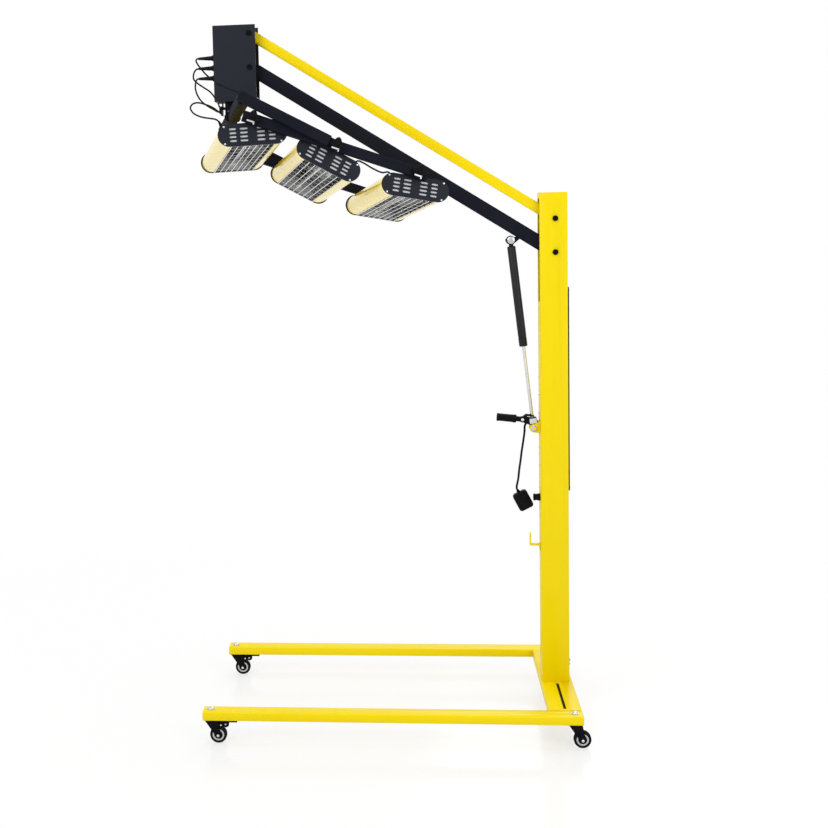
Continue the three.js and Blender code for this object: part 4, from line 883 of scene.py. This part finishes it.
def buildGrip(look):
    x, z = look.place
    place = stand @ moved(x, middleY, z) @ turned("Y", look.tilt)
    r, start, end, collar = look.radius, look.start, look.end, look.collar
    addTurned([(0, -end), (r - 2.4, -end), (r - 0.8, -end + 0.8), (r, -end + 2.6), (r - 0.7, -end + 5),
               (r - 1, -end + 16), (r - 0.8, -start - 12), (r - 0.1, -start - 5), (r, -start - 2.6),
               (r - 1, -start - 0.6), (collar + 1, -start), (collar, -start + 1), (collar, 0), (0, 0)],
              "X", 44)
    makePiece("releaseGrip", place, "release_handle", "moulded", "release_handle", sharp=30)
    half, boss = look.bossHalf, look.boss
    t0, t1, low, high = look.tongue
    addRound("Y", boss, -half, half, 36, lip=0.7)
    addSlab([(0, -boss / 2), (boss, -boss / 2), (t0, low), (boss, high), (-boss / 2, boss / 2)], -half, half)
    for side in (-1, 1):
        near, far = sorted((side * look.tongueGap, side * half))
        addSlab([(t0 - 1, low), (t1, low), (t1, high), (boss, high)], near, far)
    makePiece("releaseLever", place, "release_handle", "moulded", bevel=0.5)
    pin, reach = look.pin, look.pinHalf
    for side in (-1, 1):
        addTurned([(0, side * reach), (pin - 1, side * (reach - 0.2)), (pin, side * (reach - 1)),
                   (pin, side * (reach - 2.2))], "Y", 24)
    makePiece("releasePin", place, "strut_rod", "zinc", sharp=50)


buildGrip(gripLook)
print("arms and strut done")

# Control box

for name in ("box_shell", "box_foot", "box_cover"):
    finishNode(name, "black", smooth=False)
finishNode("timer_unit", "ceramic")

# A dark strip along the seam between the box shell and its foot: painted shadow of the gap.
seamShadowLook = Look(left=(50.4, 1947), right=(177.6, 1892), tall=4.2, y=(287.3, 288.4))
(x0, z0), (x1, z1), tall = seamShadowLook.left, seamShadowLook.right, seamShadowLook.tall
addSlab([(x0, z0 - tall), (x1, z1 - tall), (x1, z1), (x0, z0)], *seamShadowLook.y)
makePiece("boxSeamShadow", stand, "control_box", "rubber")

dialLook = Look(
    place=(92, 380.8, 2040), knob=19, flute=0.6, flutes=18, grip=13, skirt=4, depth=14, gripWidth=7,
    pointer=0.7, ticks=13, tickRing=24.5, tickHalf=0.45, sweep=300,
)


def buildDial(look):
    place = stand @ moved(*look.place)
    knobPlace = place @ moved(0, 0.3, 0)
    knob, grip, skirt, depth = look.knob, look.grip, look.skirt, look.depth
    addSlab(wavyRing(knob - look.flute, look.flute, look.flutes), 0, skirt)
    addTurned([(grip + 0.6, skirt - 0.5), (grip, skirt + 1), (grip - 0.6, depth - 1.4), (grip - 2, depth),
               (0, depth)], "Y", 48)
    half, ring, thin = look.gripWidth / 2, look.tickRing, look.pointer
    addBlock((-half, skirt - 1, -grip + 1), (half, depth, knob - 0.6))
    makePiece("timerKnob", knobPlace, "timer_knob", "moulded", "timer_knob", bevel=0.4)
    addBlock((-thin, depth - 0.3, grip - 8), (thin, depth + 0.25, knob - 1))
    makePiece("timerPointer", knobPlace, "timer_knob", "print")
    for i in range(look.ticks):
        angle = 90 + look.sweep * i / (look.ticks - 1)
        tall, wide = 5 if i % 2 == 0 else 2.6, look.tickHalf
        addBlock((ring, -0.1, -wide), (ring + tall, 0.15, wide), turned("Y", -angle))
    makePiece("timerScale", place, "control_box", "print")


buildDial(dialLook)


# Screws of one part in one mesh: each is a place and the way its head looks.
def buildScrews(name, spots, place, body, radius, height):
    for x, y, z, side in spots:
        addTurned([(radius, 0), (radius, height * 0.4), (radius * 0.75, height * 0.85),
                   (radius * 0.38, height), (radius * 0.34, height * 0.45), (0, height * 0.4)],
                  sides=24, place=moved(x, y, z) @ turned("X", -90 * side))
    makePiece(name, place, body, "zinc", sharp=40)


coverScrewLook = Look(
    face=380.8, spots=((56, 2106), (126, 2106), (56, 1962), (126, 1934)), radius=3.4, height=1.5,
)
buildScrews("coverScrews", [(x, coverScrewLook.face, z, 1) for x, z in coverScrewLook.spots], stand,
            "control_box", coverScrewLook.radius, coverScrewLook.height)
rearScrewLook = Look(
    face=1095.8, y=(306, 360), z=(702, 1301),
    profile=((3.6, 0), (3.6, 0.6), (2.6, 1.5), (1.3, 1.7), (1.2, 0.8), (0, 0.7)),
)
for z in rearScrewLook.z:
    for y in rearScrewLook.y:
        addTurned(rearScrewLook.profile, "X", 24, place=moved(rearScrewLook.face, y, z))
makePiece("rearCoverScrews", stand, "base", "zinc", sharp=40)
print("control box done")

# Head

finishNode("swivel_knuckle", "matt", 0.6)
for name in ("yoke", "lamp_beam_near", "lamp_beam_far"):
    finishNode(name, "matt")

knobLook = Look(
    radius=19, lobe=3, lobes=4, steps=72, height=13, gap=0.3, washer=10, washerHeight=2, stud=4, studEnd=271,
    cap=6, capHeight=3, clip=(((-14, -15), (9, -10.5)), ((5, -20), (9, -11))),
)


def buildClampKnob(look, index, seat):
    place = headBeams @ moved((index - 2) * lampPitch, -seat, 0)
    rider, steps, cap = f"clamp_knob_{index}", look.steps, look.cap
    outline = wavyRing(look.radius, look.lobe, look.lobes, steps)
    body = -look.gap - look.washerHeight
    outer = body - look.height
    rings = ((0.86, body), (0.97, body - 0.8), (1.0, body - 2.6), (1.0, outer + 3), (0.97, outer + 1.2),
             (0.9, outer + 0.2), (0.7, outer), (0.42, outer + 0.3))
    points = [(x * share, y, z * share) for share, y in rings for x, z in outline]
    addRings(points, steps)
    top = outer - look.capHeight
    addTurned([(0, top), (cap - 2, top + 0.2), (cap - 0.4, outer - 1.4), (cap, outer - 0.4),
               (cap, outer + 0.6)], "Y", 32)
    makePiece(f"clampKnob{index}", place, rider, "moulded", rider, sharp=50)
    addRound("Y", look.washer, body, -look.gap, lip=0.3)
    addRound("Y", look.stud, body, seat - look.studEnd, 24)
    makePiece(f"clampStud{index}", place, rider, "zinc", sharp=40)
    for (x0, z0), (x1, z1) in look.clip:
        addBlock((x0, outer - 1.6, z0), (x1, outer + 1, z1))
    makePiece(f"clampClip{index}", place, rider, "zinc", bevel=0.4)


for index, seat in enumerate(lampSeats, 1):
    buildClampKnob(knobLook, index, seat)

cassetteLook = Look(
    length=550, width=200, height=65, plate=2.5, shell=1.2, inset=1, rise=41.5, ear=12, pivotHole=4.3,
    farRim=1.03, nut=8, stud=4, mouth=61, ventRows=4, ventPitch=11.2, ventHeight=5.6,
    vents=((24.5, 23), (56, 20)), mirrorHalf=60, mirrorRise=46, mirrorFoot=-27.5, liner=29, linerWall=1.2,
    tube=6, tubeDrop=6, ceramic=14, ceramicLength=34, filament=0.45, filamentSteps=120, filamentTurn=2.1,
    filamentRadius=1.5, wire=2.4, tie=1.4, crossWires=10, longWires=8, grilleHalf=64, screws=(81, 24.5),
    screwRadius=2.7, screwHeight=0.5,
)
capsuleR = cassetteLook.height / 2
capsuleX = cassetteLook.width / 2 - capsuleR
plateY = cassetteLook.length / 2
innerY = plateY - cassetteLook.plate
shellEnd = innerY - 0.3
linerEnd = shellEnd - cassetteLook.linerWall


# The cassette's rounded section, counter-clockwise from below its right end.
def capsule(radius):
    return arcPoints((capsuleX, 0), radius, -90, 90, 20) + arcPoints((-capsuleX, 0), radius, 90, 270, 20)


# A plate with holes, drawn flat as a filled curve and stood up in X and Z between y0 and y1.
def makePlate(name, outlines, y0, y1, place, body, replaced):
    curve = bpy.data.curves.new(name, "CURVE")
    curve.dimensions, curve.fill_mode = "2D", "BOTH"
    curve.extrude = (y1 - y0) / 2
    for outline in outlines:
        addSpline(curve, [(x, z, 0) for x, z in outline]).use_cyclic_u = True
    flat = addObject(name + "Flat", curve)
    bpy.context.view_layer.update()
    mesh = flat.to_mesh()
    addFaces([v.co for v in mesh.vertices], [tuple(p.vertices) for p in mesh.polygons],
             moved(0, (y0 + y1) / 2, 0) @ turned("X", 90))
    bpy.data.objects.remove(flat)
    makePiece(name, place, body, "black", replaced, sharp=30, welded=True)


def slotOutline(x, z, width, height):
    r, half = height / 2, width / 2
    return arcPoints((x + half - r, z), r, -90, 90, 6) + arcPoints((x - half + r, z), r, 90, 270, 6)


def buildEndPlates(look, index, place):
    body, rise, neck = f"lamp_{index}", look.rise, look.ear
    right = [(x, z - rise) for x, z in arcPoints((capsuleX, 0), capsuleR, -90, 90, 20)]
    left = [(x, z - rise) for x, z in arcPoints((-capsuleX, 0), capsuleR, 90, 270, 20)]
    shoulder = capsuleR - rise
    outline = [*right, (neck, shoulder), *arcPoints((0, 0), neck, 0, 180, 20), (-neck, shoulder), *left]
    slotsCut = []
    for row in range(look.ventRows):
        z = (row - (look.ventRows - 1) / 2) * look.ventPitch - rise
        for x, width in look.vents:
            slotsCut += [slotOutline(side * x, z, width, look.ventHeight) for side in (-1, 1)]
    hole = arcPoints((0, 0), look.pivotHole, 0, 345, 23)
    makePlate(f"nearEndPlate{index}", [outline, hole, *slotsCut], -plateY, -innerY, place, body,
              f"{body}_near_plate")
    rim = look.farRim
    grown = [(x * rim, (z + rise) * rim - rise) for x, z in outline]
    makePlate(f"farEndPlate{index}", [grown, *slotsCut], innerY, plateY, place, body, f"{body}_far_plate")
    seat = lampSeats[index - 1]
    addRound("Y", look.stud, plateY - 1, seat + 5.6, 24, lip=0.4)
    addRound("Y", look.nut, seat + 0.3, seat + 5.3, 6, lip=0.6)
    makePiece(f"farPivotNut{index}", place, body, "zinc", sharp=32)


def buildShell(look, index, place):
    body, mouth = f"lamp_{index}", look.mouth
    outer = capsuleR - look.inset
    inner = outer - look.shell
    addSlab([(mouth, -outer), *capsule(outer), (-mouth, -outer), (-mouth, -inner),
             *reversed(capsule(inner)), (mouth, -inner)], -shellEnd, shellEnd)
    makePiece(f"cassetteShell{index}", place, body, "shell", f"{body}_housing", sharp=30)
    for side in (-1, 1):
        addSlab(capsule(look.liner), *sorted((side * linerEnd, side * shellEnd)))
    makePiece(f"ventLiner{index}", place, body, "sheet", sharp=30)


def buildReflector(look, index, place):
    half, high, foot = look.mirrorHalf, look.mirrorRise, look.mirrorFoot
    dish = []
    for offset, order in ((0, 1), (1, -1)):
        arc = [((half - offset) * cos(radians(a)), foot + (high - offset) * sin(radians(a)))
               for a in range(0, 181, 5)]
        dish += arc[::order]
    addSlab(dish, -linerEnd, linerEnd)
    makePiece(f"reflector{index}", place, f"lamp_{index}", "mirror", f"lamp_{index}_reflector", sharp=30)


def buildTube(look, index, place):
    body, start, drop = f"lamp_{index}", shellEnd - look.ceramicLength, -look.tubeDrop
    addRound("Y", look.tube, -start, start, 28, (0, 0, drop))
    makePiece(f"quartzTube{index}", place, body, "quartz", f"{body}_tube", sharp=40)
    coil, steps, wide = [], look.filamentSteps, look.filamentRadius
    for k in range(steps + 1):
        turn = k * look.filamentTurn
        coil.append((wide * cos(turn), -start + 4 + (2 * start - 8) * k / steps, drop + wide * sin(turn)))
    addWire(coil, look.filament, 5)
    makePiece(f"filament{index}", place, body, "zinc", sharp=60)
    c = look.ceramic / 2
    for side in (-1, 1):
        low, high = sorted((side * (start - 2), side * linerEnd))
        addBlock((-c, low, drop - c), (c, high, drop + c))
    makePiece(f"ceramicEnds{index}", place, body, "ceramic", bevel=1.2)


def buildGrille(look, index, place):
    body, long, ties, reach = f"lamp_{index}", look.longWires, look.crossWires, look.grilleHalf
    top = look.inset - capsuleR - 0.4
    r, tie = look.wire / 2, look.tie / 2
    for k in range(long):
        x = -reach + r + (2 * reach - 2 * r) * k / (long - 1)
        addRound("Y", r, -shellEnd, shellEnd, 12, (x, 0, top - tie - r))
    makePiece(f"grille{index}", place, body, "wire", f"{body}_grille", sharp=60)
    for k in range(ties):
        y = -shellEnd + tie + (2 * shellEnd - 2 * tie) * k / (ties - 1)
        addRound("X", tie, -reach, reach, 10, (0, y, top))
    makePiece(f"grilleTies{index}", place, body, "zinc", sharp=60)


def buildCassette(look, index, place):
    buildEndPlates(look, index, place)
    lower = place @ moved(0, 0, -look.rise)
    for build in (buildShell, buildReflector, buildTube, buildGrille):
        build(look, index, lower)
    screwX, screwZ = look.screws
    corners = [(sx * screwX, sz * screwZ) for sx in (-1, 1) for sz in (-1, 1)]
    buildScrews(f"endScrews{index}", [(x, side * plateY, z, side) for x, z in corners for side in (-1, 1)],
                lower, f"lamp_{index}", look.screwRadius, look.screwHeight)


for index, place in enumerate(lampPlaces, 1):
    buildCassette(cassetteLook, index, place)
print("head done")

# Floor, backdrop and light

studioLook = Look(
    floor=40.0, floorColour=(0.86, 0.86, 0.86), floorRough=0.16, floorShine=0.5,
    veil=0.66, fade=(1.3, 2.6), world=0.66, aim=(0, 0, 1),
    lights=(
        ("keyLight", (-3.2, -4.2, 4.2), 3.2, 130),
        ("fillLight", (3.6, -3.6, 2.6), 3.0, 60),
        ("topLight", (0.2, 0.6, 5.2), 3.5, 75),
        ("rearLight", (1.5, 4.5, 3.4), 3.0, 50),
    ),
)


def whiteForCamera(tree):
    path = addNode(tree, "LightPath")
    seen = path.outputs["Is Camera Ray"]
    for ray in ("Is Glossy Ray", "Is Transmission Ray"):
        either = addNode(tree, "Math", operation="MAXIMUM")
        tree.links.new(seen, either.inputs[0])
        tree.links.new(path.outputs[ray], either.inputs[1])
        seen = either.outputs["Value"]
    return seen


def floorMaterial(look):
    material, tree, shader = startMaterial("studio floor")
    join = tree.links.new
    setInputs(shader, {"Base Color": (*look.floorColour, 1), "Roughness": look.floorRough,
                       "Specular IOR Level": look.floorShine})
    glow = addNode(tree, "Emission", {"Strength": 1, "Color": (1, 1, 1, 1)})
    blend = addNode(tree, "MixShader")
    share = addNode(tree, "Math", operation="MULTIPLY")
    join(whiteForCamera(tree), share.inputs[0])
    middle = addNode(tree, "TexCoord")
    away = addNode(tree, "VectorMath", operation="LENGTH")
    join(middle.outputs["Object"], away.inputs[0])
    veil = addRange(tree, away.outputs["Value"], look.veil, 1, *look.fade)
    join(veil, share.inputs[1])
    join(share.outputs["Value"], blend.inputs["Fac"])
    join(shader.outputs["BSDF"], blend.inputs[1])
    join(glow.outputs["Emission"], blend.inputs[2])
    join(blend.outputs["Shader"], tree.nodes["Material Output"].inputs["Surface"])
    return material


def buildStudio(look):
    size = look.floor
    mesh = bpy.data.meshes.new("floor")
    mesh.from_pydata([(-size, -size, 0), (size, -size, 0), (size, size, 0), (-size, size, 0)], [], [range(4)])
    addObject("floor", mesh)
    mesh.materials.append(floorMaterial(look))
    world = bpy.data.worlds.new("studio")
    scene.world = world
    world.use_nodes = True
    tree = world.node_tree
    back = tree.nodes["Background"]
    setInputs(back, {"Color": (1, 1, 1, 1)})
    strength = addRange(tree, whiteForCamera(tree), look.world, 1.0, 0, 1)
    tree.links.new(strength, back.inputs["Strength"])
    for name, place, width, power in look.lights:
        data = bpy.data.lights.new(name, "AREA")
        data.shape, data.size, data.energy = "SQUARE", width, power
        light = addObject(name, data)
        light.location = place
        aim = Vector(look.aim) - Vector(place)
        light.rotation_euler = aim.to_track_quat("-Z", "Y").to_euler()


buildStudio(studioLook)
scene.view_settings.view_transform = "Standard"
print("studio lit")
